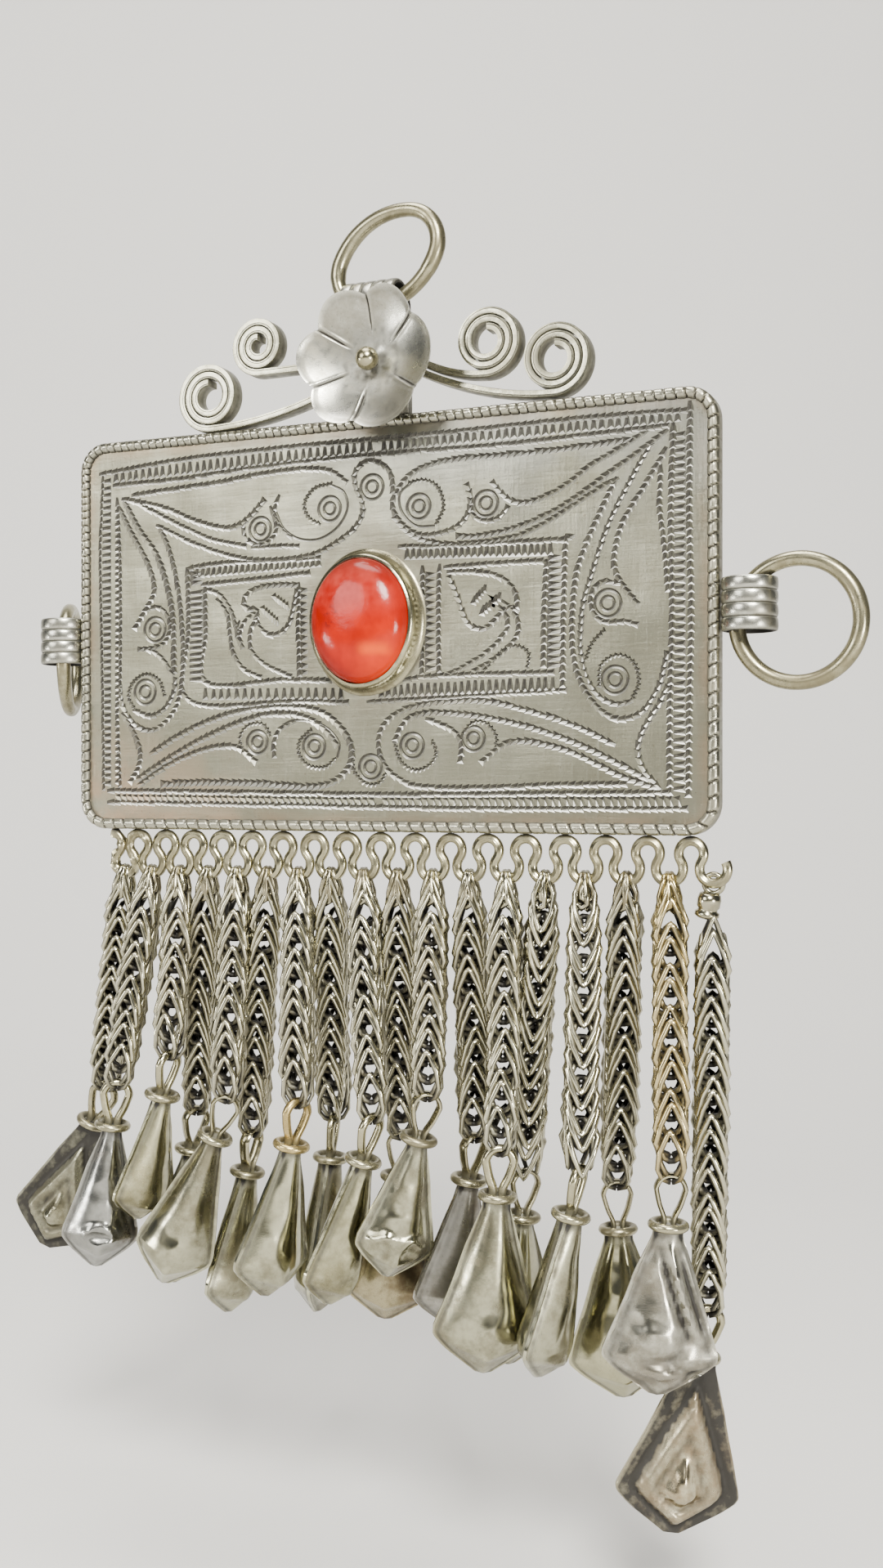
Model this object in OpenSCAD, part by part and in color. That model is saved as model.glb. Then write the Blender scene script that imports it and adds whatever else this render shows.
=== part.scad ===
/* [Plate] */
// Width of the plate
plate_w = 79.6; // [76:0.1:82]
// Height of the plate
plate_h = 47.1; // [46:0.1:48]
// Corner radius of the plate
corner_r = 3.5; // [2.5:0.1:4]
// Thickness of the engraved sheet
sheet_t = 1.2; // [0.8:0.1:1.4]
// Width of the border wire, seen from the front
rim_w = 1.3; // [1:0.05:1.5]
// Depth of the border from front to back
rim_d = 2.6; // [2.4:0.05:2.8]
// How far the border stands in front of the sheet
rim_proud = 0.6; // [0.4:0.05:0.7]

/* [Stone] */
// Half width of the oval stone
stone_a = 6.1; // [5.5:0.1:6.5]
// Half height of the oval stone
stone_b = 7.2; // [6.5:0.1:7.6]
// How far the dome stands in front of the sheet
stone_dome = 4.6; // [4:0.1:5]
// Height of the bezel wall that holds the stone
bezel_h = 2; // [1.6:0.1:2.4]

/* [Flower] */
// Radius of one petal
petal_r = 4; // [3.8:0.05:4.2]
// Distance from the flower's centre to a petal's centre
petal_out = 4.3; // [4.1:0.05:4.4]
// Radius that the petals are dished to
dish_r = 13.6; // [13:0.1:15]
// Radius of the ball in the middle
ball_r = 1.3; // [1.1:0.05:1.4]

/* [Scrolls] */
// Thickness of the scrolled strip
strip_t = 0.78; // [0.6:0.02:0.8]
// Depth of the scrolled strip from front to back
strip_d = 2.1; // [1.8:0.1:2.4]
// Turns of each scroll
scroll_turns = 2.5; // [2.25:0.25:2.5]

/* [Rings and bails] */
// Outer radius of a bail tube over its ribs
bail_r = 2.95; // [2.9:0.01:3]
// Radius of a bail's bore
bail_bore_r = 2.4; // [2.38:0.01:2.45]
// Length of each side bail
bail_len = 5.6; // [5:0.1:5.7]
// Radius of the side rings, to the middle of the wire
ring_r = 6.35; // [6.3:0.01:6.4]
// Radius of the ring wire
ring_wire_r = 0.82; // [0.75:0.01:0.85]
// Angle that the left ring is swung towards the back
left_swing = 62; // [30:1:80]

/* [Fringe] */
// Radius of the wire that carries the chains
hanger_wire_r = 0.475; // [0.45:0.005:0.5]
// Radius of the hanger wire's upper loops, to the middle of the wire
upper_loop_r = 1.35; // [1.3:0.01:1.36]
// Radius of its lower loops
lower_loop_r = 1.5; // [1.45:0.01:1.52]
// Radius of a chain
chain_r = 1.6; // [1.4:0.05:1.65]
// Half width of a drop
drop_w = 5.7; // [5.2:0.1:5.8]
// Half depth of a drop
drop_d = 3; // [2.6:0.1:3.1]
// Length of a drop below its collar
drop_l = 18.4; // [17:0.1:18.6]

/* [Hidden] */
UPPER_LOOPS = 17;
FRINGE = UPPER_LOOPS + 1;
function two(i) = str(i < 10 ? "0" : "", i);
chain_names = [for (i = [1:FRINGE]) str("chain_", two(i))];
drop_names = [for (i = [1:FRINGE]) str("drop_", two(i))];

silver = "#b9b6a6";
pale_silver = "#cfcdc0";
gap = 0.05;
fine = 48;
// Wire arcs stop just short of each other and a thinner pin joins them inside
arc_cut = 0.5;
pin_share = 0.8;
pin_len = 0.3;

// Everything is first laid out from the middle of the sheet's front face, x right, y back, z up
half_w = plate_w / 2;
half_h = plate_h / 2;
mid_y = rim_d / 2 - rim_proud;

stone_x = -0.8;
stone_z = 0.3;
bezel_wall = 0.45;
stone_fit = 0.12;

flower_x = 1.3;
flower_z = 29;
flower_back = mid_y - bail_r - gap;
petal_t = 0.7;
post_r = 0.6;
boss_r = 1.2;

top_bail_x = -0.2;
top_bail_z = 36.15;
top_bail_half = 3.3;
top_ribs = 5;
side_ribs = 4;
side_bail_x = half_w + bail_r + gap;
right_bail_z = 0.5;
left_bail_z = -0.5;
tab_w = 6;
tab_t = 1.2;

// The oval top ring is four arcs, its long axis rising to the right
top_ring_x = 1.4;
top_ring_z = 41.5;
top_ring_tilt = 30;
top_ring_a = 6.6;
top_ring_b = 4.8;
top_ring_side_r = 3.9;
top_ring_off = top_ring_a - top_ring_side_r;
top_ring_long_r = (top_ring_off * top_ring_off + top_ring_b * top_ring_b
    - top_ring_side_r * top_ring_side_r) / (2 * (top_ring_b - top_ring_side_r));
top_ring_low = top_ring_long_r - top_ring_b;
top_ring_half = atan(top_ring_off / top_ring_low);

// The origin of the part is the point inside the top ring where it hangs
hang_x = 1;
hang_arc_x = top_ring_x + top_ring_low * sin(top_ring_tilt);
hang_arc_z = top_ring_z - top_ring_low * cos(top_ring_tilt);
hang_z = hang_arc_z + sqrt(pow(top_ring_long_r - ring_wire_r, 2) - pow(hang_x - hang_arc_x, 2));

ring_reach = 5;
right_ring_z = right_bail_z + bail_len / 2 - 4.65;
left_ring_z = left_bail_z + bail_len / 2 - 4.65;

// Each scroll: centre x and z, outer radius, and the height where its strip leaves the tab
SCROLL_X = 0;
SCROLL_Z = 1;
SCROLL_R = 2;
SCROLL_ROOT = 3;
right_scrolls = [
    [13.9, 30.75, 4.1, 29.9],
    [21.8, half_h + 4.45 + gap, 4.25, 28.6]];
left_scrolls = [
    [-14.9, 33.2, 3.6, 30.2],
    [-21.6, half_h + 4.25 + gap, 4.25, 28.4]];

// The hanger wire's loops widen slightly from left to right
loops_start = -31.9;
loop_pitch = 3.835;
loop_growth = 0.028;
loops_z = -half_h - gap - hanger_wire_r - upper_loop_r;
function upper_x(i) = loops_start + i * (loop_pitch + i * loop_growth);
function lower_x(i) = (upper_x(i - 1) + upper_x(i)) / 2;
function loop_half(i) = (upper_x(i) - upper_x(i - 1)) / 2;
function lower_drop(i) = sqrt(pow(upper_loop_r + lower_loop_r, 2) - pow(loop_half(i), 2));
function lower_z(i) = loops_z - lower_drop(i);
function join_angle(i) = atan(lower_drop(i) / loop_half(i));

// Each drop: its collar's x and z, its row (-1 front, 1 back), the turn of its face,
// how far it leans to the left, its size, and how wide it is for its size
DROP_X = 0;
DROP_Z = 1;
DROP_ROW = 2;
DROP_TURN = 3;
DROP_LEAN = 4;
DROP_SIZE = 5;
DROP_WIDE = 6;
row_depth = 3.4;
drops = [
    [-41.0, -60.5,  1, 12, 24, 0.98, 1],
    [-33.4, -59.0, -1, 34,  8, 0.95, 0.8],
    [-26.4, -54.9, -1, 80, 13, 0.84, 1],
    [-26.9, -62.8, 1.15, 62,  9, 0.92, 0.85],
    [-19.2, -59.2, -1, 22, 22, 1.05, 0.75],
    [-18.8, -64.7,  1, 85,  9, 0.95, 0.95],
    [ -9.1, -59.3, -1, 66, 11, 0.98, 0.9],
    [ -8.8, -62.6, 1.7, 104,  6, 1.02, 0.9],
    [  0.0, -60.2, -1, 75, 15, 0.94, 0.95],
    [  0.8, -63.6, 1.25, 22,  6, 0.92, 1],
    [  6.8, -57.2, -1, 36, 14, 0.88, 0.85],
    [ 10.0, -62.9,  1, 60,  9, 0.92, 1],
    [ 16.1, -62.6, -1, 28,  5, 1.06, 0.93],
    [ 16.4, -66.4,  1, 40,  6, 0.92, 1],
    [ 24.7, -63.6, -1.2, 88, 12, 0.98, 1],
    [ 27.5, -66.7, 1.1, 24, -2, 1, 1],
    [ 35.1, -63.7, -1, 22,  4, 0.97, 1.05],
    [ 36.9, -79.0, 0.9, 28, 10, 1.08, 1.06]];

link_wire_r = 0.28;
top_link_r = 1.02;
end_link_r = 1.05;
link_seat = 0.1;
link_sunk = 0.25;
eye_wire_r = 0.36;
eye_r = 1.5;
eye_leg = 3.7;
eye_foot = 0.5;
collar_r = 1.7;
collar_wire_r = 0.4;
chain_sides = 8;
bead_r = 1.7;
drop_sides = 12;

// Sections down a drop: share of its length, of its width and of its depth, and how ridged it is
AT = 0;
WIDE = 1;
DEEP = 2;
RIDGED = 3;
drop_sections = [
    [-0.015, 0.28, 0.54, 0],
    [0.10, 0.31, 0.56, 0.05],
    [0.40, 0.60, 0.74, 0.16],
    [0.65, 0.88, 0.95, 0.20],
    [0.77, 1.00, 1.00, 0.22],
    [0.87, 0.66, 0.84, 0.18],
    [0.96, 0.26, 0.36, 0.08],
    [1.00, 0.10, 0.16, 0]];

module placed() translate([-hang_x, -mid_y, -hang_z]) children();

// Turns shapes drawn in x and y so that they stand in x and z, with their height going to the back
module standing() rotate([90, 0, 0]) mirror([0, 0, 1]) children();

module arc_wire(big_r, small_r, from, to) standing() rotate([0, 0, from])
    rotate_extrude(angle = to - from, $fn = fine) translate([big_r, 0]) circle(r = small_r, $fn = 24);

module ring_wire(big_r, small_r) rotate_extrude($fn = fine)
    translate([big_r, 0]) circle(r = small_r, $fn = 24);

module rounded_rect(w, h, r) {
    square([w - 2 * r, h], center = true);
    square([w, h - 2 * r], center = true);
    for (sx = [-1, 1], sy = [-1, 1])
        translate([sx * (w / 2 - r), sy * (h / 2 - r)]) circle(r = r, $fn = fine);
}

function oval(a, b, n) = [for (i = [0:n - 1]) [a * cos(i * 360 / n), b * sin(i * 360 / n)]];

// Engraved sheet with its border and the stone's bezel, soldered as one piece
module plate() color(pale_silver) placed() {
    difference() {
        union() {
            standing() linear_extrude(sheet_t) rounded_rect(plate_w - 1, plate_h - 1, corner_r - 0.5);
            translate([0, -rim_proud, 0]) standing() linear_extrude(rim_d) difference() {
                rounded_rect(plate_w, plate_h, corner_r);
                rounded_rect(plate_w - 2 * rim_w, plate_h - 2 * rim_w, corner_r - rim_w);
            }
            translate([stone_x, -bezel_h, stone_z]) standing() linear_extrude(bezel_h + sheet_t / 2)
                polygon(oval(stone_a + bezel_wall, stone_b + bezel_wall, 40));
        }
        translate([stone_x, -bezel_h - 1, stone_z]) standing() linear_extrude(bezel_h + 1)
            polygon(oval(stone_a + stone_fit, stone_b + stone_fit, 40));
    }
}

// Oval stone with a flat back and a domed front
module stone() color("#c8401c") placed() translate([stone_x, -gap, stone_z]) {
    sides = 32;
    wall = bezel_h - 0.3;
    turns = [0, 18, 36, 54, 72];
    rings = concat([[1, 0]], [for (t = turns) [cos(t), wall + (stone_dome - gap - wall) * sin(t)]]);
    points = concat([for (r = rings, p = oval(stone_a * r[0], stone_b * r[0], sides)) [p[0], -r[1], p[1]]],
        [[0, -stone_dome + gap, 0], [0, 0, 0]]);
    last = (len(rings) - 1) * sides;
    faces = concat(
        [for (k = [0:len(rings) - 2], i = [0:sides - 1]) let (j = (i + 1) % sides)
            [k * sides + i, k * sides + j, (k + 1) * sides + j, (k + 1) * sides + i]],
        [for (i = [0:sides - 1]) [last + i, last + (i + 1) % sides, len(points) - 2]],
        [for (i = [0:sides - 1]) [(i + 1) % sides, i, len(points) - 1]]);
    polyhedron(points, faces);
}

// Six petals dished to one sphere, with a ball on a post and a boss behind that meets the tab
module flower() color(pale_silver) placed() translate([flower_x, flower_back, flower_z]) {
    intersection() {
        translate([0, -8, 0]) standing() linear_extrude(8) union()
            for (i = [0:5]) rotate([0, 0, i * 60]) translate([petal_out, 0]) circle(r = petal_r, $fn = fine);
        translate([0, -dish_r, 0]) difference() {
            sphere(r = dish_r, $fn = 64);
            sphere(r = dish_r - petal_t, $fn = 64);
        }
    }
    translate([0, -petal_t - 1, 0]) standing() cylinder(r = post_r, h = 1.4, $fn = fine);
    boss = mid_y - tab_t / 2 - gap - flower_back;
    translate([0, -petal_t / 2, 0]) standing() cylinder(r = boss_r, h = boss + petal_t / 2, $fn = fine);
    translate([0, -petal_t - ball_r - 0.1, 0]) sphere(r = ball_r, $fn = fine);
}

// One strip that leaves the tab, passes under its scroll and winds up inside it
function spiral_at(c, r, t) = let (a = -90 + t * 360, q = r - strip_t / 2 - t * (strip_t + 0.1))
    [c[0] + q * cos(a), c[1] + q * sin(a)];
function lead_at(from, to, t) = let (bend = [(from[0] + to[0]) / 2, to[1]])
    (1 - t) * (1 - t) * from + 2 * t * (1 - t) * bend + t * t * to;
function strip_path(s, dir, x0) = let (c = [s[SCROLL_X] * dir, s[SCROLL_Z]], r = s[SCROLL_R],
        start = spiral_at(c, r, 0))
    concat([for (t = [0:0.125:0.9]) lead_at([x0, s[SCROLL_ROOT]], start, t)],
        [for (k = [0:scroll_turns * 24]) spiral_at(c, r, k / 24)]);
function side_of(path, i) = let (a = path[max(0, i - 1)], b = path[min(len(path) - 1, i + 1)], d = b - a)
    [-d[1], d[0]] / norm(d);
function strip_outline(path) = concat(
    [for (i = [0:len(path) - 1]) path[i] + side_of(path, i) * strip_t / 2],
    [for (i = [len(path) - 1:-1:0]) path[i] - side_of(path, i) * strip_t / 2]);

module scroll_pair(table, dir) color(silver) placed()
    translate([0, mid_y - strip_d / 2, 0]) standing() linear_extrude(strip_d) for (s = table)
        mirror([dir < 0 ? 1 : 0, 0])
            polygon(strip_outline(strip_path(s, dir, tab_w / 2 + strip_t / 2 + gap + flower_x * dir)));

// A short tube with rounded ribs, its axis along z
module ribbed_tube(length, ribs) {
    rib = length / ribs;
    difference() {
        intersection() {
            union() {
                cylinder(r = bail_r - 0.25, h = length, center = true, $fn = fine);
                for (i = [0:ribs - 1]) translate([0, 0, (i + 0.5) * rib - length / 2])
                    rotate_extrude($fn = fine) translate([bail_r - rib / 2, 0]) circle(r = rib / 2, $fn = 24);
            }
            cylinder(r = bail_r + 1, h = length, center = true, $fn = fine);
        }
        cylinder(r = bail_bore_r, h = length + 1, center = true, $fn = fine);
    }
}

// Ribbed bail for the top ring, on a plain tab that stands on the plate
module bail_top() color(silver) placed() {
    translate([top_bail_x, mid_y, top_bail_z]) rotate([0, 90, 0]) ribbed_tube(2 * top_bail_half, top_ribs);
    tab_top = top_bail_z - bail_bore_r - 0.2;
    translate([flower_x - tab_w / 2, mid_y - tab_t / 2, half_h + gap])
        cube([tab_w, tab_t, tab_top - half_h - gap]);
}

module side_bail(x, z) color(silver) placed() translate([x, mid_y, z]) ribbed_tube(bail_len, side_ribs);
module bail_left() side_bail(-side_bail_x, left_bail_z);
module bail_right() side_bail(side_bail_x, right_bail_z);

// Side ring: it hangs through its bail, swung about the bail's bore
module side_ring(x, z, swing) color(pale_silver) placed() translate([x, mid_y, z]) rotate([0, 0, swing])
    translate([ring_reach, 0, 0]) rotate([90, 0, 0]) ring_wire(ring_r, ring_wire_r);
module ring_right() side_ring(side_bail_x, right_ring_z, 0);
module ring_left() side_ring(-side_bail_x, left_ring_z, 180 - left_swing);

// Oval ring that the whole piece hangs by
module ring_top() color(pale_silver) placed() translate([top_ring_x, mid_y, top_ring_z])
    rotate([0, -top_ring_tilt, 0]) for (s = [0, 180]) rotate([0, s, 0]) {
        long_half = top_ring_half - arc_cut;
        side_half = 90 - top_ring_half - arc_cut;
        translate([0, 0, -top_ring_low])
            arc_wire(top_ring_long_r, ring_wire_r, 90 - long_half, 90 + long_half);
        translate([top_ring_off, 0, 0]) arc_wire(top_ring_side_r, ring_wire_r, -side_half, side_half);
        for (m = [-1, 1]) translate([top_ring_off, 0, 0]) rotate([0, m * (90 - top_ring_half), 0])
            translate([top_ring_side_r, 0, 0]) arc_pin(ring_wire_r);
    }

module arc_pin(small_r) cylinder(r = small_r * pin_share, h = pin_len, center = true, $fn = 24);

// One wire bent into loops, soldered under the plate
module hanger_wire() color(silver) placed() translate([0, mid_y, 0]) {
    low_share = lower_loop_r / (upper_loop_r + lower_loop_r);
    for (i = [0:UPPER_LOOPS - 1]) translate([upper_x(i), 0, loops_z]) arc_wire(upper_loop_r,
        hanger_wire_r, arc_cut - join_angle(i + 1), 180 + join_angle(i) - arc_cut);
    for (i = [0:UPPER_LOOPS]) translate([lower_x(i), 0, lower_z(i)]) {
        end = i < UPPER_LOOPS ? 360 + join_angle(i) - arc_cut : 390;
        arc_wire(lower_loop_r, hanger_wire_r, 180 - join_angle(i) + arc_cut, end);
        for (m = [-1, 1]) if (m < 0 || i < UPPER_LOOPS)
            translate([m * loop_half(i) * low_share, 0, lower_drop(i) * low_share])
                rotate([0, -m * join_angle(i), 0]) arc_pin(hanger_wire_r);
    }
    translate([upper_x(-1), 0, loops_z])
        arc_wire(upper_loop_r, hanger_wire_r, arc_cut - join_angle(0), 90);
}

// The triangles of a closed tube: a ring of corners at each height, counted from the top down
function tube_faces(rings, sides) = concat(
    [for (k = [0:rings - 2], i = [0:sides - 1], half = [0, 1])
        let (j = (i + 1) % sides, a = k * sides + i, c = (k + 1) * sides + j)
        half == 0 ? [a, k * sides + j, c] : [a, c, c - j + i]],
    [[for (i = [sides - 1:-1:0]) i], [for (i = [0:sides - 1]) (rings - 1) * sides + i]]);

// A straight chain's tube between two points, with level rings
module down_tube(from, to, rings) {
    points = [for (k = [0:rings - 1], i = [0:chain_sides - 1]) let (a = i * 360 / chain_sides)
        from + (to - from) * k / (rings - 1) + chain_r * [cos(a), sin(a), 0]];
    polyhedron(points, tube_faces(rings, chain_sides));
}

// A drop's own frame: its collar is at the middle, its eye above, its body below
function collar_at(i) = [drops[i - 1][DROP_X], mid_y + drops[i - 1][DROP_ROW] * row_depth,
    drops[i - 1][DROP_Z]];
function drop_up(i) = [sin(drops[i - 1][DROP_LEAN]), 0, cos(drops[i - 1][DROP_LEAN])];
module drop_frame(i) translate(collar_at(i)) rotate([0, drops[i - 1][DROP_LEAN], 0])
    rotate([0, 0, drops[i - 1][DROP_TURN]]) children();
link_up = eye_leg + eye_r - eye_wire_r - link_wire_r - link_seat + end_link_r;

// Chain: a link round the hanger wire, the chain itself, and a link through the drop's eye
module chain(i) color(silver) placed() {
    seat = hanger_wire_r + link_wire_r + link_seat;
    top = [lower_x(i - 1), mid_y, lower_z(i - 1) - lower_loop_r + seat - top_link_r];
    translate(top) rotate([0, 90, 0]) ring_wire(top_link_r, link_wire_r);
    start = top - [0, 0, top_link_r - link_sunk];
    down_tube(start, collar_at(i) + drop_up(i) * (link_up + end_link_r - link_sunk),
        i == FRINGE ? 6 : 4);
    drop_frame(i) translate([0, 0, link_up]) rotate([0, 90, 0]) ring_wire(end_link_r, link_wire_r);
    if (i == FRINGE) translate(start - [0, 0, bead_r]) sphere(r = bead_r, $fn = fine);
}

// Hollow stamped drop, closed here: kite-shaped body, wire collar and eye
module drop(i) color(silver) placed() drop_frame(i) {
    size = drops[i - 1][DROP_SIZE];
    wide = drop_w * drops[i - 1][DROP_WIDE];
    rotate_extrude($fn = fine) translate([collar_r, 0]) circle(r = collar_wire_r, $fn = 24);
    translate([0, 0, eye_leg]) arc_wire(eye_r, eye_wire_r, arc_cut, 180 - arc_cut);
    for (m = [-1, 1]) {
        translate([m * eye_r, 0, -eye_foot]) cylinder(r = eye_wire_r, h = eye_leg + eye_foot, $fn = 24);
        translate([m * eye_r, 0, eye_leg]) arc_pin(eye_wire_r);
    }
    points = [for (s = drop_sections, k = [0:drop_sides - 1])
        let (a = k * 360 / drop_sides, in = 1 - s[RIDGED] * abs(sin(2 * a)))
        size * [wide * s[WIDE] * cos(a) * in, drop_d * s[DEEP] * sin(a) * in, -drop_l * s[AT]]];
    polyhedron(points, tube_faces(len(drop_sections), drop_sides));
}

plate();
stone();
flower();
scroll_pair(left_scrolls, -1);  // scrolls_left
scroll_pair(right_scrolls, 1);  // scrolls_right
bail_top();
bail_left();
bail_right();
hanger_wire();
ring_top();
ring_left();
ring_right();
for (i = [1:FRINGE]) {
    chain(i);
    drop(i);
}
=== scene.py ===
import math

import bmesh
import bpy
from bpy.props import FloatProperty, FloatVectorProperty, IntProperty, PointerProperty
from mathutils import Matrix, Vector, noise


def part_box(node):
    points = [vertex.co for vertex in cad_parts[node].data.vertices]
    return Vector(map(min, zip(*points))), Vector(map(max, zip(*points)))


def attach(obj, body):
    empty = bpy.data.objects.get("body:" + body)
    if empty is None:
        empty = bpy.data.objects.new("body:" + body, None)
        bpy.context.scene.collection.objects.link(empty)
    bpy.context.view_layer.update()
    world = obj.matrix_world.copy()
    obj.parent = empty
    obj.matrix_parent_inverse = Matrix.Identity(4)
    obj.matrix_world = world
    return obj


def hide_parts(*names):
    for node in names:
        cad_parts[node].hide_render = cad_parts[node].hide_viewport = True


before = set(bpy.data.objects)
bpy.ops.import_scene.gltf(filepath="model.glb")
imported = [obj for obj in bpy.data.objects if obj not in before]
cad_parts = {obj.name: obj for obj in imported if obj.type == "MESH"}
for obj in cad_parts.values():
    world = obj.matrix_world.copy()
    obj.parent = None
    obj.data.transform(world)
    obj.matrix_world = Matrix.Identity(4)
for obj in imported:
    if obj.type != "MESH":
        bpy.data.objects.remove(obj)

bl_info = {
    "name": "Pectoral pendant",
    "version": (1, 0, 0),
    "blender": (4, 5, 0),
    "location": "3D View > Sidebar > Pendant",
    "description": "Engraved silver pectoral with a stone, scrolls, rings and a fringe of chains and drops",
    "category": "Object",
}

TAU = 2 * math.pi
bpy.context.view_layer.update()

# Shapes are worked out in millimetres from the middle of the sheet's front face: x right, y back, z up.
# The plate's own box says where that point lies in the frame.
PLATE_LOW, PLATE_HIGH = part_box("plate")
PLATE_W = (PLATE_HIGH[0] - PLATE_LOW[0]) * 1000
PLATE_H = (PLATE_HIGH[2] - PLATE_LOW[2]) * 1000
RIM_BACK = 2.0
HOME = Vector(((PLATE_LOW[0] + PLATE_HIGH[0]) / 2, PLATE_HIGH[1] - RIM_BACK / 1000,
               (PLATE_LOW[2] + PLATE_HIGH[2]) / 2))
PLACED = Matrix.Translation(HOME) @ Matrix.Scale(0.001, 4)

# Gap between neighbouring pieces, and the distance within which corners are welded
GAP = 0.05
WELD = 1e-4
MID_Y = 0.7
RIM_W = 1.3
CORNER_R = 3.5
STONE_X, STONE_Z = -0.8, 0.3
STONE_A, STONE_B = 6.1, 7.2
STONE_DOME = 4.6
FLOWER_X, FLOWER_Z, FLOWER_BACK = 1.3, 29.0, -2.3
BAIL_R, BAIL_BORE_R = 2.95, 2.4
SIDE_BAIL_X = PLATE_W / 2 + BAIL_R + GAP
SIDE_BAIL_Z, SIDE_BAIL_HALF, SIDE_RIBS = 0.5, 2.8, 4
TOP_BAIL, TOP_BAIL_HALF, TOP_RIBS = (-0.2, MID_Y, 36.15), 3.3, 5
TAB_TOP = 33.55
RING_R, RING_WIRE_R = 6.35, 0.82
# Loops of the hanger wire, its own radius here and the radius that its solid has
UPPER_LOOP_R, LOWER_LOOP_R, HANGER_R, HANGER_SOLID_R = 1.35, 1.5, 0.545, 0.475
TOP_LOOPS_Z = -PLATE_H / 2 - GAP - HANGER_SOLID_R - UPPER_LOOP_R
FRINGE = 18

# Scrolled strips: centre x and z, outer radius, height where the strip leaves the tab, side
SCROLLS = {
    "scrolls_right": [(13.9, 30.75, 4.1, 29.9), (21.8, PLATE_H / 2 + 4.5, 4.25, 28.6)],
    "scrolls_left": [(-14.9, 33.2, 3.6, 30.2), (-21.6, PLATE_H / 2 + 4.3, 4.25, 28.4)],
}

# Drops: collar x and z, row, turn of the face, lean to the left, size, width (all as in the frame),
# then how crumpled it is, how its eye is made and which finish it has
DROPS = [
    (-41.0, -60.5, 1, 12, 24, 0.98, 1, 0.15, "wire", "drop"),
    (-33.4, -59.0, -1, 34, 8, 0.95, 0.8, 0.35, "wire", "blue"),
    (-26.4, -54.9, -1, 80, 13, 0.84, 1, 0.10, "wire", "olive"),
    (-26.9, -62.8, 1.15, 62, 9, 0.92, 0.85, 0.15, "strip", "drop"),
    (-19.2, -59.2, -1, 22, 22, 1.05, 0.75, 0.10, "strip", "drop"),
    (-18.8, -64.7, 1, 85, 9, 0.95, 0.95, 0.15, "strip", "drop"),
    (-9.1, -59.3, -1, 66, 11, 0.98, 0.9, 0.12, "brass", "drop"),
    (-8.8, -62.6, 1.7, 104, 6, 1.02, 0.9, 0.10, "wire", "drop"),
    (0.0, -60.2, -1, 75, 15, 0.94, 0.95, 0.15, "wire", "olive"),
    (0.8, -63.6, 1.25, 22, 6, 0.92, 1, 0.15, "strip", "brown"),
    (6.8, -57.2, -1, 36, 14, 0.88, 0.85, 0.30, "strip", "drop"),
    (10.0, -62.9, 1, 60, 9, 0.92, 1, 0.15, "strip", "dark"),
    (16.1, -62.6, -1, 28, 5, 1.06, 0.93, 0.10, "wire", "drop"),
    (16.4, -66.4, 1, 40, 6, 0.92, 1, 0.15, "strip", "drop"),
    (24.7, -63.6, -1.2, 88, 12, 0.98, 1, 0.10, "wire", "drop"),
    (27.5, -66.7, 1.1, 24, -2, 1, 1, 0.20, "strip", "olive"),
    (35.1, -63.7, -1, 22, 4, 0.97, 1.05, 0.60, "strip", "satin"),
    (36.9, -79.0, 0.9, 28, 10, 1.08, 1.06, 0.10, "wire", "stained"),
]
ROW_DEPTH = 3.4
EYE_LEG, EYE_R, EYE_WIRE_R = 3.7, 1.5, 0.36
COLLAR_R, COLLAR_WIRE_R = 1.7, 0.47
# A drop of size 1: half its width, half its depth and its length
DROP_HALF_W, DROP_HALF_D, DROP_TALL = 5.7, 3.0, 18.4
# Drops with embossed nested kites, the folded drop and the chain of brassy wire, counted from 0
EMBOSSED, FOLDED_DROP, BRASSY_CHAIN = (0, 17), 16, 16
# Dents (-) and bumps (+) of single drops: height in mm, then place and reach across and down the face
DENTS = {
    4: ((-0.35, -0.05, 0.62, 0.25, 0.06), (-0.25, 0.1, 0.80, 0.3, 0.03)),
    8: ((0.4, -0.1, 0.66, 0.27, 0.09), (-0.3, -0.15, 0.78, 0.12, 0.03)),
    12: ((-0.25, 0.05, 0.60, 0.22, 0.07), (-0.15, -0.2, 0.85, 0.2, 0.02)),
}
# Chains whose lobes hang down, counted from 1; those of the others stand up
HANGING_LOBES = (14, 15)
# Sides of a chain link's wire
LINK_SIDES = 5

# Stage, in metres and radians from the middle of the sheet: the photo's camera and the lights
FOCAL_PX, PHOTO_PX, SENSOR_MM = 2000, 1918, 36.0
CAMERA_SPOT, CAMERA_TURN = (0.08044, -0.1673, -0.0181), math.radians(23.3)
LIGHTS = (
    ("key_light", (0.28, -0.55, 0.45), 0.24, 17.0, (1.0, 0.985, 0.92)),
    ("fill_light", (-0.42, -0.72, 0.30), 0.42, 5.0, (1.0, 0.985, 0.94)),
    ("left_light", (-0.62, -0.42, -0.10), 0.16, 3.0, (1.0, 0.99, 0.95)),
    ("top_light", (-0.05, -0.10, 0.75), 0.5, 9.0, (1.0, 0.98, 0.95)),
    ("right_light", (0.55, -0.33, -0.06), 0.15, 3.6, (1.0, 0.98, 0.92)),
)

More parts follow.
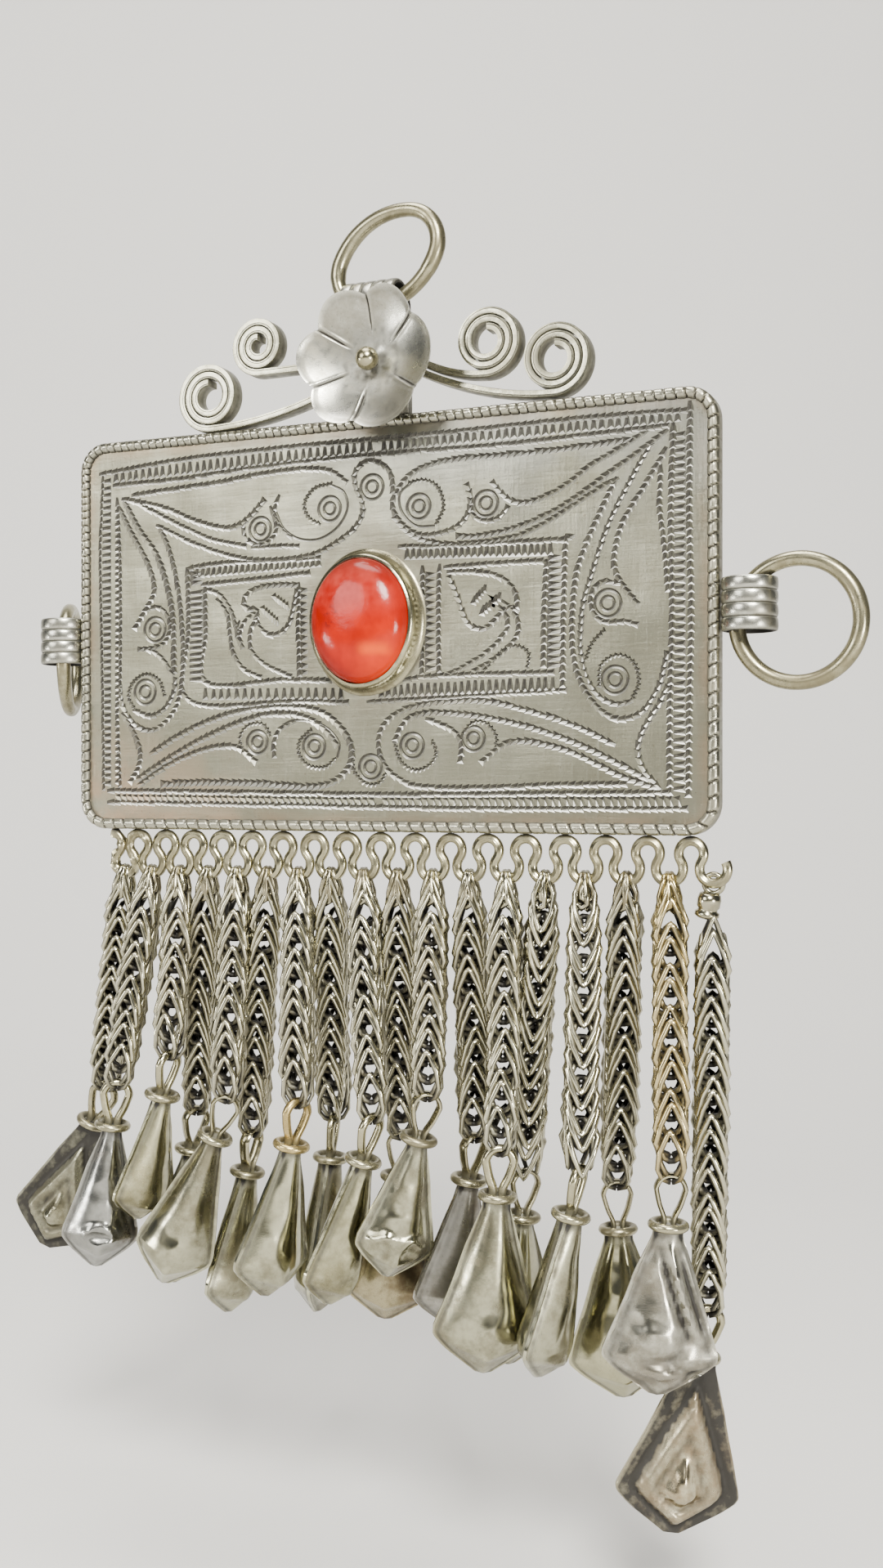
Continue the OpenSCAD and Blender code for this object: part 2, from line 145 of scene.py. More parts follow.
# Engraved lines of the plate. Each row: how it is cut, its width, and the points that it runs through.
LINES = [
    # outer band and its ticks
    ("nick", .50, [(-36.9, 19.8), (-25, 20.7), (-10, 21.0), (10, 21.0), (25, 21.2), (36.6, 21.0)]),
    ("nick", .50, [(-34.9, 18.3), (-25, 18.4), (-15, 19.0), (0, 19.3), (15, 19.1), (34.6, 19.6)]),
    ("nick", .32, [(-36.7, 19.4), (-37.1, 10), (-36.9, 0), (-36.7, -10), (-36.6, -19.0)]),
    ("nick", .40, [(-34.6, 16.4), (-34.2, 8), (-34.2, -6), (-34.6, -9), (-34.2, -18.6)]),
    ("nick", .50, [(36.7, 21.6), (36.6, 10), (36.8, 0), (36.6, -10), (36.5, -19.6)]),
    ("nick", .50, [(34.9, 19.5), (34.6, 10), (34.8, 0), (34.5, -10), (34.5, -19.4)]),
    ("nick", .50, [(-35.7, -18.9), (-15, -19.1), (0, -19.3), (15, -19.2), (34.6, -19.0)]),
    ("nick", .50, [(-35.7, -20.3), (-15, -20.5), (0, -20.7), (15, -20.8), (36.6, -20.7)]),
    # inner frame
    ("nick", .50, [(-24.5, 7.6), (-20, 8.0), (-6.6, 7.9)]),
    ("nick", .50, [(3.4, 8.6), (10, 8.4), (22.7, 8.3), (22.9, 8.1), (22.7, 0), (22.6, -7.8)]),
    ("nick", .50, [(-22.4, 5.6), (-15, 5.9), (-8.0, 6.3)]),
    ("nick", .50, [(9.0, 6.0), (14, 6.1), (20.4, 6.1), (20.7, 5.6), (20.5, 0), (20.4, -5.6)]),
    ("nick", .50, [(-24.6, 7.4), (-24.5, 0), (-24.4, -8.2), (-10, -8.5), (-3, -8.8)]),
    ("nick", .50, [(-22.2, 5.2), (-22.1, 0), (-22.0, -6.1), (-12, -6.0), (-5.2, -6.2)]),
    ("nick", .45, [(-0.5, -8.8), (10, -8.4), (23.2, -8.0)]),
    ("nick", .45, [(4.0, -6.4), (8, -6.0), (21.8, -6.0)]),
    ("nick", .45, [(-9.6, 4.9), (-9.7, 0), (-9.5, -5.8)]),
    ("nick", .45, [(6.1, 6.0), (6.0, 0), (6.0, -6.0)]),
    ("nick", .45, [(8.1, 6.1), (8.0, 0), (8.1, -5.8)]),
    # upper left bird
    ("nick", .55, [(-32.2, 16.9), (-25, 17.3), (-20, 17.6), (-15, 18.1), (-9, 18.3), (-5.5, 17.8), (-3.3, 16.2)]),
    ("nick", .55, [(-33.6, 16.5), (-28, 15.1), (-24, 13.4), (-20, 12.2), (-17.8, 12.3), (-15.8, 13.5), (-14, 15.3)]),
    ("nick", .50, [(-31.6, 15.9), (-29, 14.5), (-25, 12.5), (-21, 10.8), (-16.4, 9.8)]),
    ("nick", .45, [(-15.6, 9.6), (-12, 9.6), (-9.4, 9.4)]),
    ("nick", .50, [(-28.7, 12.9), (-25, 11.1), (-21, 9.5), (-17, 8.4), (-13, 8.0), (-8, 8.3), (-4.5, 9.7),
                   (-2.1, 11.4), (-1.3, 13.4), (-2.2, 15.6), (-2.4, 17.4), (-1, 18.6), (0.8, 18.3), (2.2, 16.8),
                   (2.4, 14.6)]),
    ("line", .26, [(-12.6, 13.6), (-11.6, 11.6), (-9.6, 10.3), (-7, 10.1), (-4.6, 11.3), (-3.3, 13.4),
                   (-3.8, 15.3), (-5.6, 16.3)]),
    ("barb", .50, [(-5.4, 16.4), (-7.6, 16.0), (-8.9, 14.3), (-8.3, 12.6), (-6.7, 11.7)]),
    ("nick", .45, [(-13.2, 14.0), (-12.5, 12.0), (-13.1, 10.5), (-14.6, 9.9), (-16.2, 10.3), (-17, 11.6),
                   (-16.7, 13.0)]),
    ("nick", .45, [(-12.3, 15.2), (-12.9, 13.4), (-11.6, 11.3), (-10.3, 10.4)]),
    # left side
    ("nick", .55, [(-34.3, 15.4), (-32.5, 12.2), (-30.5, 9.0), (-29.5, 6.6), (-29.3, 5.0), (-30.1, 3.5), (-32.2, 0.5)]),
    ("nick", .60, [(-33.6, 16.2), (-31.4, 12.6), (-29, 9.5), (-27.6, 6.0), (-26.7, 2), (-26.5, -5)]),
    ("nick", .50, [(-28.6, 12.8), (-27.2, 10), (-26.1, 6), (-25.4, 1), (-25.3, -5), (-26.2, -8.8), (-28.3, -11.1),
                   (-30.6, -11.6), (-32.7, -10.4), (-33.9, -8.4), (-34.3, -6)]),
    ("nick", .45, [(-30.6, 2.9), (-28.8, 3.2), (-27.4, 2), (-27.1, 0.2), (-28, -1.3), (-29.6, -1.7), (-31.8, -1.8)]),
    ("nick", .50, [(-30.4, -1.9), (-29, -2.4), (-27.8, -3.5), (-26.6, -5.3)]),
    ("barb", .50, [(-27.8, -7.4), (-28.6, -5.6), (-30.5, -4.8), (-32.4, -5.8), (-33, -7.6), (-32, -9.2)]),
    ("nick", .50, [(-32, -9.2), (-30, -9.9), (-28, -9.2), (-26.6, -7.2), (-26.3, -5.2)]),
    ("nick", .55, [(-33.7, -9.7), (-32.2, -12), (-31.3, -14.3), (-31.6, -16.3), (-32.9, -18.1)]),
    # lower left bird
    ("nick", .60, [(-29.6, -14.4), (-26, -12.4), (-21, -10.4), (-16, -9.3), (-11, -9.1), (-7, -9.7), (-4.4, -11.4),
                   (-2.9, -13.6), (-2.9, -15.8), (-4.6, -17.6), (-8, -18.4), (-15, -18.0), (-22, -17.9),
                   (-28.5, -18.1)]),
    ("nick", .60, [(-31.8, -17.6), (-27, -14.9), (-22, -12.5), (-17, -10.7), (-13, -9.9), (-9.5, -10.2),
                   (-6.5, -11.6), (-4.5, -13.8)]),
    ("nick", .55, [(-31.4, -18.2), (-27.5, -15.9), (-23, -14.2), (-20, -13.6), (-17.8, -13.8), (-16.2, -14.8),
                   (-15.1, -15.7)]),
    ("barb", .45, [(-8.0, -11.8), (-9.5, -13.1), (-9.6, -14.6), (-8.4, -16), (-6.2, -16.2), (-4.7, -15.1)]),
    ("line", .26, [(-4.6, -15.1), (-4.4, -13.4), (-6.2, -11.5), (-9.2, -10.7), (-11.5, -11.2), (-12.7, -12.9)]),
    ("nick", .45, [(-10.2, -10.8), (-12.2, -11.8), (-12.9, -13.4), (-12.8, -15.2)]),
    ("barb", .45, [(-17.0, -14.3), (-17.4, -12.6), (-16.2, -11.2), (-14.3, -11.2), (-13.3, -12.6)]),
    # middle below
    ("barb", .45, [(-2.7, -14.4), (-2.5, -16.6), (-1.0, -18.1), (0.8, -18.0), (1.6, -16.8)]),
    # lower right bird
    ("nick", .50, [(28.2, -13.8), (24, -11.8), (19, -10.2), (14, -9.0), (9, -8.9), (4.5, -9.5), (1.8, -10.9),
                   (0.6, -13), (1.1, -15.6), (2.9, -17.4), (6, -18.4), (14, -18.5), (22, -18.2), (30, -18.1)]),
    ("nick", .50, [(31.9, -17.5), (27, -15.0), (22, -12.9), (16, -11.2), (10.5, -10.3), (6, -10.2), (3.8, -11.2),
                   (2.6, -13.4)]),
    ("barb", .45, [(2.6, -13.4), (3.3, -15.5), (5, -16.6), (7, -16), (7.8, -14.6), (7.2, -13.1)]),
    ("nick", .50, [(33, -18.5), (29, -17.2), (24, -14.8), (20, -13.7), (17, -13.4), (14.8, -14.4), (13, -15.9)]),
    ("nick", .50, [(6.8, -10.9), (9.5, -12), (10.8, -13.6), (10.6, -15.9)]),
    ("barb", .40, [(11.0, -12.6), (12.2, -11.3), (13.8, -11.5), (14.9, -12.8), (14.8, -14.2)]),
    ("nick", .50, [(33.3, -18.5), (31.6, -16.5), (31, -14.4), (31.8, -12), (33.4, -9.6), (34.4, -7.6)]),
    # right side
    ("barb", .45, [(26.8, -7.6), (27.0, -5.4), (28.8, -4.4), (30.6, -5.3), (31.1, -7.4), (30.2, -9.3)]),
    ("nick", .45, [(30.2, -9.3), (28.4, -9.6), (26.3, -8.3), (25.1, -6), (24.6, -3), (24.9, 1), (25.9, 4.4),
                   (27.6, 9.2), (29.9, 13.6), (32.6, 18.1)]),
    ("nick", .50, [(28.5, 14.3), (26.8, 10.8), (25.0, 7), (24.0, 3.4), (23.7, -3), (24.6, -7), (26.6, -10),
                   (29, -11.2), (31.6, -10.4), (33.4, -7.6), (34.3, -4)]),
    ("nick", .50, [(34, 17), (31.8, 13.5), (29.6, 10.2), (28.6, 7.4), (28.4, 5.2), (29.1, 3.4), (31.1, 0.8)]),
    ("nick", .45, [(29.0, 3.2), (27.3, 3.6), (25.9, 2.4), (26, 0.4), (27.3, -0.8), (29.4, -0.8), (31.2, -1.3)]),
    ("barb", .40, [(27.3, -1.6), (25.9, -3), (25.1, -4.9)]),
    ("nick", .45, [(33.5, 15.2), (33.4, 11), (33.9, 7), (34.3, 2)]),
    # upper right bird
    ("nick", .50, [(30, 18.5), (25, 18.2), (18, 18.0), (10, 18.0), (6.4, 17.5), (4.2, 16.4), (2.9, 14.9),
                   (2.3, 13.4), (3.2, 11.5), (5.4, 9.9), (8, 9.8), (10.5, 10.6), (11.7, 12.1), (11.8, 13.8),
                   (11.3, 15.3)]),
    ("nick", .50, [(31.9, 19.2), (29, 17.6), (26, 16.2), (23, 14.2), (20, 12.9), (17.5, 12.6), (16, 13.4),
                   (14.3, 15.3)]),
    ("nick", .50, [(34, 19), (31, 17), (28, 15.2), (24.5, 13), (21, 11.2), (17, 9.9), (13, 9.3), (10, 9.4)]),
    ("nick", .50, [(28.6, 14.4), (25, 12.6), (21, 10.4), (17, 8.9), (12, 8.5), (8, 8.7), (4.6, 10), (2.4, 12.2)]),
    ("line", .26, [(7.6, 10.7), (5.2, 10.9), (3.5, 12.6), (3.3, 14.6), (4.8, 15.8)]),
    ("barb", .45, [(4.4, 15.7), (6.2, 15.9), (7.9, 15.0), (8.6, 12.8), (7.6, 10.8)]),
    ("nick", .45, [(12.0, 13.4), (12.1, 11.6), (13.6, 10.9), (15.4, 11.2), (16.4, 12.5)]),
    # leaf in the left window
    ("nick", .50, [(-9.8, 5.0), (-13, 5.1), (-15.6, 4.7), (-17.0, 3.5), (-16.4, 2.4), (-15.1, 2.4), (-15.2, 0.9),
                   (-14.2, -0.4), (-12.5, -0.7), (-11.0, 0.3), (-10.3, 2.2), (-9.8, 4.6)]),
    ("nick", .45, [(-15.3, 2.0), (-16.9, 0.9), (-17.5, -0.9), (-17.0, -2.3)]),
    ("nick", .45, [(-15.1, 1.5), (-16.0, -0.2), (-15.9, -2.5), (-14, -4.2), (-10.4, -5.7)]),
    ("nick", .45, [(-21.9, 5.0), (-20.2, 4.3), (-18.6, 2.2), (-17.7, -0.4)]),
    ("nick", .45, [(-20.4, 3.6), (-19.1, 1.8), (-18.8, -0.6), (-18.2, -3), (-16.8, -4.7), (-14.4, -5.7)]),
    ("nick", .40, [(-17.7, 0.8), (-18.0, -0.4), (-17.3, -1.8)]),
    # leaf in the right window
    ("nick", .50, [(9.4, 5.5), (13, 5.3), (15.7, 4.4), (17.2, 2.7), (17.3, 0.9), (16.3, 1.4), (15.3, 0.5),
                   (14.0, -0.8), (12.4, -0.9), (11.2, 0.2), (10.4, 2.4), (9.2, 5.2)]),
    ("nick", .45, [(15.8, 1.8), (17.3, 0.2), (17.4, -1.9), (15.2, -4), (12, -5.8)]),
    ("nick", .45, [(15.4, 1.2), (16.3, 0), (15.9, -1.6), (13.5, -3.8), (9, -6)]),
    ("barb", .35, [(18.6, -5.4), (18.8, -3.9), (17.6, -3.0), (16, -3.2), (13.3, -5.6)]),
]

# Rows of ticks between two lines: ends of the row on one side and on the other, count
TICKS = [
    ((-35.2, 18.5), (-35.2, 19.9), (0.0, 19.4), (0.0, 20.9), 37),
    ((0.9, 19.4), (0.9, 20.9), (35.8, 19.8), (35.8, 21.0), 38),
    ((-35.4, 19.2), (-36.7, 19.2), (-35.4, -18.4), (-36.7, -18.4), 46),
    ((-34.4, 15.4), (-34.9, 15.4), (-34.4, -18.2), (-34.9, -18.2), 44),
    ((36.3, 18.9), (35.0, 18.9), (36.3, -19.0), (35.0, -19.0), 45),
    ((-35.0, -19.3), (-34.6, -20.3), (0.0, -19.6), (0.4, -20.6), 42),
    ((0.9, -19.6), (1.3, -20.6), (35.6, -19.3), (36.0, -20.6), 42),
    ((-23.9, 6.3), (-23.6, 7.6), (-6.6, 6.8), (-6.6, 7.9), 22),
    ((3.8, 7.0), (3.8, 8.5), (21.6, 6.5), (21.6, 8.1), 24),
    ((-22.3, 5.0), (-24.3, 5.0), (-22.3, -6.0), (-24.2, -6.0), 15),
    ((20.8, 6.8), (22.4, 6.8), (20.7, -5.6), (22.4, -5.6), 17),
    ((-22.6, -8.2), (-22.6, -6.8), (-3.6, -8.6), (-3.6, -7.2), 18),
    ((0.6, -8.5), (0.6, -7.0), (21.9, -8.2), (21.9, -6.6), 26),
    ((-9.5, 4.7), (-8.5, 4.7), (-9.4, -5.6), (-8.5, -5.6), 13),
    ((6.3, 5.7), (7.6, 5.7), (6.3, -5.6), (7.6, -5.6), 14),
    ((-14.7, 2.9), (-14.2, 1.9), (-12.5, 1.2), (-12.2, 0.2), 6),
    ((-13.2, 4.2), (-12.6, 3.3), (-11.2, 2.9), (-10.8, 2.0), 5),
    ((12.0, 1.5), (12.3, 2.5), (13.6, 3.1), (13.8, 4.0), 5),
    ((13.0, 0.2), (13.3, 1.4), (15.3, 2.1), (15.6, 3.0), 6),
    ((-24.4, 7.2), (-22.8, 7.2), (-24.3, 5.6), (-22.6, 5.6), 3),
]

# Punched double circles: x, z, radius
CIRCLES = [(-14.7, 11.7, 1.2), (-5.6, 13.5, 1.2), (-0.2, 15.6, 1.2), (5.6, 13.0, 1.2), (13.7, 12.8, 1.2),
           (-29.2, 0.5, 1.25), (-30.6, -7.0, 1.25), (-15.1, -13.2, 1.15), (-7.6, -13.8, 1.2), (-0.4, -16.2, 1.2),
           (4.8, -13.8, 1.2), (12.2, -13.1, 1.15), (27.7, 1.2, 1.25), (28.5, -7.0, 1.25)]


# ---------------------------------------------------------------- shader maths

class Value:
    """A number in a shader. Sums and products of values add their Math nodes."""

    def __init__(self, paint, socket):
        self.paint, self.socket = paint, socket

    def math(self, operation, *others, first=False, clamp=False):
        values = [self, *others] if not first else [others[0], self]
        node = self.paint.node("ShaderNodeMath", {"operation": operation, "use_clamp": clamp},
                               dict(enumerate(values)))
        return Value(self.paint, node.outputs[0])

    def __add__(self, other):
        return self.math("ADD", other)

    def __sub__(self, other):
        return self.math("SUBTRACT", other)

    def __rsub__(self, other):
        return self.math("SUBTRACT", other, first=True)

    def __mul__(self, other):
        return self.math("MULTIPLY", other)

    def __truediv__(self, other):
        return self.math("DIVIDE", other)

    __radd__, __rmul__ = __add__, __mul__

    def between(self, low, high):
        """0 at low, 1 at high, and smooth between them."""
        node = self.paint.node("ShaderNodeMapRange", {"interpolation_type": "SMOOTHSTEP"},
                               {"Value": self, "From Min": low, "From Max": high})
        return Value(self.paint, node.outputs["Result"])

    def clamped(self):
        return self.math("ADD", 0.0, clamp=True)


class Paint:
    """A material and the nodes that its shader is made of."""

    def __init__(self, name):
        self.material = bpy.data.materials.new(name)
        self.material.use_nodes = True
        self.tree = self.material.node_tree
        self.tree.nodes.clear()
        self.out = self.node("ShaderNodeOutputMaterial")
        self.place = self.node("ShaderNodeTexCoord").outputs["Object"]

    def node(self, kind, settings=None, inputs=None):
        node = self.tree.nodes.new(kind)
        for key, value in (settings or {}).items():
            if key == "stops":
                ramp = node.color_ramp.elements
                while len(ramp) < len(value):
                    ramp.new(1.0)
                for element, (at, colour) in zip(ramp, value):
                    element.position, element.color = at, colour
            else:
                setattr(node, key, value)
        for key, value in (inputs or {}).items():
            self.set(node.inputs[key], value)
        return node

    def set(self, socket, value):
        value = getattr(value, "socket", value)
        if isinstance(value, bpy.types.NodeSocket):
            self.tree.links.new(value, socket)
        elif isinstance(value, (tuple, list)) or hasattr(value, "__len__"):
            value = tuple(value)
            socket.default_value = value if len(value) == len(socket.default_value) else (*value, 1.0)
        else:
            socket.default_value = value

    def part(self, axis):
        """One coordinate of the place, in millimetres."""
        split = self.node("ShaderNodeSeparateXYZ", None, {0: self.place})
        return Value(self, split.outputs[axis]) * 1000.0

    def noise(self, per_mm, detail=3.0, rough=0.55, squeeze=(1, 1, 1), shift=0.0):
        where = self.node("ShaderNodeMapping", None, {"Vector": self.place, "Scale": squeeze,
                                                       "Location": (shift, shift, shift)})
        node = self.node("ShaderNodeTexNoise", None, {"Vector": where.outputs[0], "Scale": per_mm * 1000.0,
                                                      "Detail": detail, "Roughness": rough})
        return Value(self, node.outputs[0])

    def attribute(self, name):
        return Value(self, self.node("ShaderNodeAttribute", {"attribute_name": name}).outputs["Fac"])

    def mix(self, share, first, second):
        node = self.node("ShaderNodeMix", {"data_type": "RGBA"})
        self.set(node.inputs[0], share)
        self.set(node.inputs[6], first)
        self.set(node.inputs[7], second)
        return node.outputs[2]

    def bump(self, height, depth_mm, under=None):
        inputs = {"Height": height, "Distance": depth_mm / 1000.0, "Strength": 1.0}
        if under is not None:
            inputs["Normal"] = under
        return self.node("ShaderNodeBump", None, inputs).outputs[0]

    def shader(self, **inputs):
        node = self.node("ShaderNodeBsdfPrincipled", None, {key.replace("_", " "): v for key, v in inputs.items()})
        self.tree.links.new(node.outputs[0], self.out.inputs[0])
        return self.material


def silver(name, light, worn, stain, stained, rough, dent_mm, specked, shift, oxide):
    """Old silver: pale where worn bright and where a highlight is painted, warm tarnish in clouds, dark oxide and
    painted shade where the mesh marks them.
    """
    paint = Paint(name)
    broad = paint.noise(0.09, 4.0, 0.6, shift=shift)
    fine = paint.noise(0.9, 5.0, 0.62, shift=shift + 3.1)
    specks = paint.noise(3.2, 2.0, 0.5, shift=shift + 7.7)
    hollow = paint.attribute("hollow").clamped()
    rubbed = paint.attribute("rubbed").clamped()
    darkening = (hollow * (fine * 0.9 + 0.75)).clamped()
    clouds = (broad + fine * 0.35).between(0.60, 0.84)
    colour = paint.mix((broad * 0.5 + fine * 0.5).between(0.38, 0.62), light, worn)
    colour = paint.mix(clouds * stained, colour, stain)
    # Paler where wear is marked, and a painted highlight where a highlight is marked
    colour = paint.mix(rubbed * 0.65, colour, tuple(min(1.0, k * 1.5 + 0.06) for k in light))
    colour = paint.mix(specks.between(0.62, 0.74) * specked, colour, oxide)
    # Dark oxide in the hollows, and painted shade where shade is marked
    colour = paint.mix(darkening, colour, oxide)
    hammered = paint.bump(paint.noise(0.20, 1.0, 0.3, shift=shift + 1.3), dent_mm * 6)
    scratched = paint.bump(paint.noise(2.6, 4.0, 0.6, (1.0, 1.0, 3.0), shift), dent_mm * 0.3, hammered)
    return paint.shader(Base_Color=colour, Metallic=1.0 - darkening * 0.6,
                        Roughness=(fine * 0.16 + clouds * 0.12 + darkening * 0.35 - rubbed * 0.06 + rough - 0.16).clamped(),
                        Normal=scratched)


# ---------------------------------------------------------------- mesh helpers

def skin(bm, rows, cols, place):
    """A grid of rows by cols faces whose corner (row, col) lies at place(row, col), with its seams closed."""
    verts = bmesh.ops.create_grid(bm, x_segments=rows, y_segments=cols, size=1.0)["verts"]
    for v in verts:
        v.co = place(round((v.co.x + 1) / 2 * rows), round((v.co.y + 1) / 2 * cols))
    bmesh.ops.remove_doubles(bm, verts=verts, dist=WELD)
    return [v for v in verts if v.is_valid]


def smooth_path(points, step, closed=False):
    """Points at even steps along a smooth curve through the given ones."""
    pts = [Vector(p) for p in points]
    n = len(pts)
    dense = []
    for i in range(n if closed else n - 1):
        p0 = pts[i - 1] if closed or i else pts[0] * 2 - pts[1]
        p1, p2 = pts[i], pts[(i + 1) % n]
        p3 = pts[(i + 2) % n] if closed or i + 2 < n else p2 * 2 - p1
        for k in range(16):
            t = k / 16
            dense.append(0.5 * (2 * p1 + (p2 - p0) * t + (2 * p0 - 5 * p1 + 4 * p2 - p3) * t * t
                                + (3 * p1 - p0 - 3 * p2 + p3) * t ** 3))
    dense.append(pts[0] if closed else pts[-1])
    return even(dense, step, closed)


def clamp(value, low=0.0, high=1.0):
    return max(low, min(high, value))


def smooth_step(low, high, value):
    """0 up to low, 1 from high on, and smooth between them."""
    k = clamp((value - low) / (high - low))
    return k * k * (3 - 2 * k)


def bell(value, at, reach):
    """1 where the value is at its place, falling smoothly to 0 on both sides."""
    return math.exp(-((value - at) / reach) ** 2)


def turned(degrees, axis):
    return Matrix.Rotation(math.radians(degrees), 4, axis)


def add_object(name, data):
    piece = bpy.data.objects.new(name, data)
    bpy.context.scene.collection.objects.link(piece)
    return piece


def as_mesh(bm, name):
    mesh = bpy.data.meshes.new(name)
    bm.to_mesh(mesh)
    bm.free()
    return mesh


def even(dense, step, closed=False):
    """The same run of points, at even steps of about the length given."""
    lengths = [0.0]
    for a, b in zip(dense, dense[1:]):
        lengths.append(lengths[-1] + (b - a).length)
    count = max(2, round(lengths[-1] / step))
    out, j = [], 0
    for i in range(count if closed else count + 1):
        want = lengths[-1] * i / count
        while j < len(dense) - 2 and lengths[j + 1] < want:
            j += 1
        span = lengths[j + 1] - lengths[j]
        out.append(dense[j].lerp(dense[j + 1], (want - lengths[j]) / span if span else 0.0))
    return out


def arc(cx, cz, r, start, end, y=MID_Y, steps=24):
    """Points of an arc in the plane of the plate, angles in degrees from +x towards +z."""
    return [Vector((cx + r * math.cos(math.radians(start + (end - start) * i / steps)), y,
                    cz + r * math.sin(math.radians(start + (end - start) * i / steps))))
            for i in range(steps + 1)]


def frames(path, closed, across):
    """For each point of a path: the point, the direction to its side and the direction across."""
    n = len(path)
    out, last = [], None
    for i, p in enumerate(path):
        ahead = path[(i + 1) % n] if closed or i + 1 < n else p
        behind = path[i - 1] if closed or i else p
        t = (ahead - behind).normalized()
        b = across if across else last if last else t.orthogonal()
        b = (b - t * b.dot(t)).normalized()
        last = b
        out.append((p, t.cross(b), b))
    return out


def wire(bm, path, sides, section, closed=False, across=None):
    """A closed tube along a path. section(row, angle) gives the offsets to the side and across."""
    at = frames(path, closed, across)
    n = len(at)
    ends = 0 if closed else 1

    def place(row, col):
        i = row - ends
        if not closed and (i < 0 or i >= n):
            return at[0][0] if i < 0 else at[-1][0]
        p, a, b = at[i % n]
        u, v = section(i % n, TAU * (col % sides) / sides)
        return p + a * u + b * v

    return skin(bm, n if closed else n + 1, sides, place)


def round_section(radius):
    return lambda i, angle: (radius * math.cos(angle), radius * math.sin(angle))


def box_section(half_side, half_across):
    """A flat strip with rounded edges."""
    def section(i, angle):
        c, s = math.cos(angle), math.sin(angle)
        k = (abs(c) ** 4.0 + abs(s) ** 4.0) ** (-1 / 4.0)
        return half_side * c * k, half_across * s * k
    return section


def mark_oxide_and_shade(bm, depth_of):
    layer = bm.verts.layers.float.get("hollow") or bm.verts.layers.float.new("hollow")
    for v in bm.verts:
        v[layer] = clamp(depth_of(v.co))


def mark_wear(bm, radius):
    """Adds to "hollow" what is bent inwards and to "rubbed" what stands out, both against the radius in mm."""
    hollow = bm.verts.layers.float.get("hollow") or bm.verts.layers.float.new("hollow")
    rubbed = bm.verts.layers.float.new("rubbed")
    bm.normal_update()
    bends = {}
    for v in bm.verts:
        near = [e.other_vert(v).co - v.co for e in v.link_edges]
        reach = sum(n.length_squared for n in near) / max(1, len(near))
        bends[v] = 2 * sum((n.dot(v.normal) for n in near), 0.0) / (len(near) * reach) if near and reach else 0.0
    for v in bm.verts:
        near = [bends[e.other_vert(v)] for e in v.link_edges] or [0.0]
        bend = (bends[v] + sum(near) / len(near)) / 2 * radius
        v[hollow] = min(1.0, v[hollow] + max(0.0, bend))
        v[rubbed] = min(1.0, max(0.0, -bend))


def finish(bm, name, material, body="pectoral", replaces=(), weld=True, sharp=40.0, worn=0.35):
    """Makes the object: outward normals, wear marked, placed in the frame, riding its body."""
    if weld:
        bmesh.ops.remove_doubles(bm, verts=bm.verts, dist=WELD)
        bmesh.ops.recalc_face_normals(bm, faces=bm.faces)
    if worn:
        mark_wear(bm, worn)
    limit = math.radians(sharp)
    for f in bm.faces:
        f.smooth = True
    for e in bm.edges:
        e.smooth = not (e.is_manifold and e.calc_face_angle(0.0) > limit)
    bmesh.ops.transform(bm, matrix=PLACED, verts=bm.verts)
    mesh = as_mesh(bm, name)
    piece = add_object(name, mesh)
    mesh.materials.append(material)
    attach(piece, body)
    if replaces:
        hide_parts(*replaces)


def cut(piece_mesh, cutter_bm):
    """The mesh with the cutter's shapes taken out of it."""
    tool_mesh = as_mesh(cutter_bm, "cut_tool")
    target, tool = add_object("cut_target", piece_mesh), add_object("cut_tool", tool_mesh)
    modifier = target.modifiers.new("cut", "BOOLEAN")
    modifier.object, modifier.operation, modifier.solver = tool, "DIFFERENCE", "MANIFOLD"
    done = bpy.data.meshes.new_from_object(target.evaluated_get(bpy.context.evaluated_depsgraph_get()))
    for o, m in ((target, piece_mesh), (tool, tool_mesh)):
        bpy.data.objects.remove(o)
        bpy.data.meshes.remove(m)
    return done


# ---------------------------------------------------------------- settings

def length(name, text, default, low, high):
    return FloatProperty(name=name, description=text, default=default, min=low, max=high, unit="LENGTH", precision=5)


def colour(name, text, default):
    return FloatVectorProperty(name=name, description=text, default=default, size=3, min=0, max=1,
                               subtype="COLOR")


class PendantSizes(bpy.types.PropertyGroup):
    groove: length("Groove depth", "How deep the plate's lines are cut", 0.0003, 0.0001, 0.0005)
    nick_step: length("Nick step", "Distance between nicks of an engraved line", 0.00082, 0.0004, 0.0015)
    rim_step: length("Border notch step", "Distance between notches of the border wire", 0.0013, 0.0006, 0.002)
    chain_wire: length("Chain wire", "Radius of the wire that the chains are plaited of", 0.00034, 0.0002, 0.0004)
    chain_pitch: length("Chain pitch", "Distance from one pair of links of a chain to the next", 0.0041, 0.003, 0.006)
    chain_width: length("Chain width", "Width of a plaited chain", 0.0039, 0.0028, 0.0042)
    drop_seam: length("Drop seam", "How far the seam of a drop stands out", 0.0003, 0.0, 0.0004)


class PendantColours(bpy.types.PropertyGroup):
    light: colour("Rubbed silver", "Silver where it is rubbed bright", (0.30, 0.29, 0.225))
    worn: colour("Worn silver", "Silver with a thin tarnish", (0.21, 0.20, 0.148))
    stain: colour("Warm tarnish", "Yellowish brown clouds of tarnish", (0.19, 0.155, 0.095))
    # The oxide colour also paints the painted shade on groove walls and between chain wires
    oxide: colour("Oxide", "Dark oxide in grooves and hollows", (0.016, 0.014, 0.011))
    brass: colour("Brass", "Pieces of a brassy alloy", (0.46, 0.36, 0.16))
    stone: colour("Stone", "Body of the orange-red stone", (0.19, 0.003, 0.0005))
    stone_glow: colour("Stone glow", "Where light gathers in the stone", (0.46, 0.022, 0.0))
    floor: colour("Floor", "The plain floor and backdrop", (0.58, 0.57, 0.55))


def settings():
    return bpy.context.scene.pendant_sizes, bpy.context.scene.pendant_colours


MATERIALS = {}


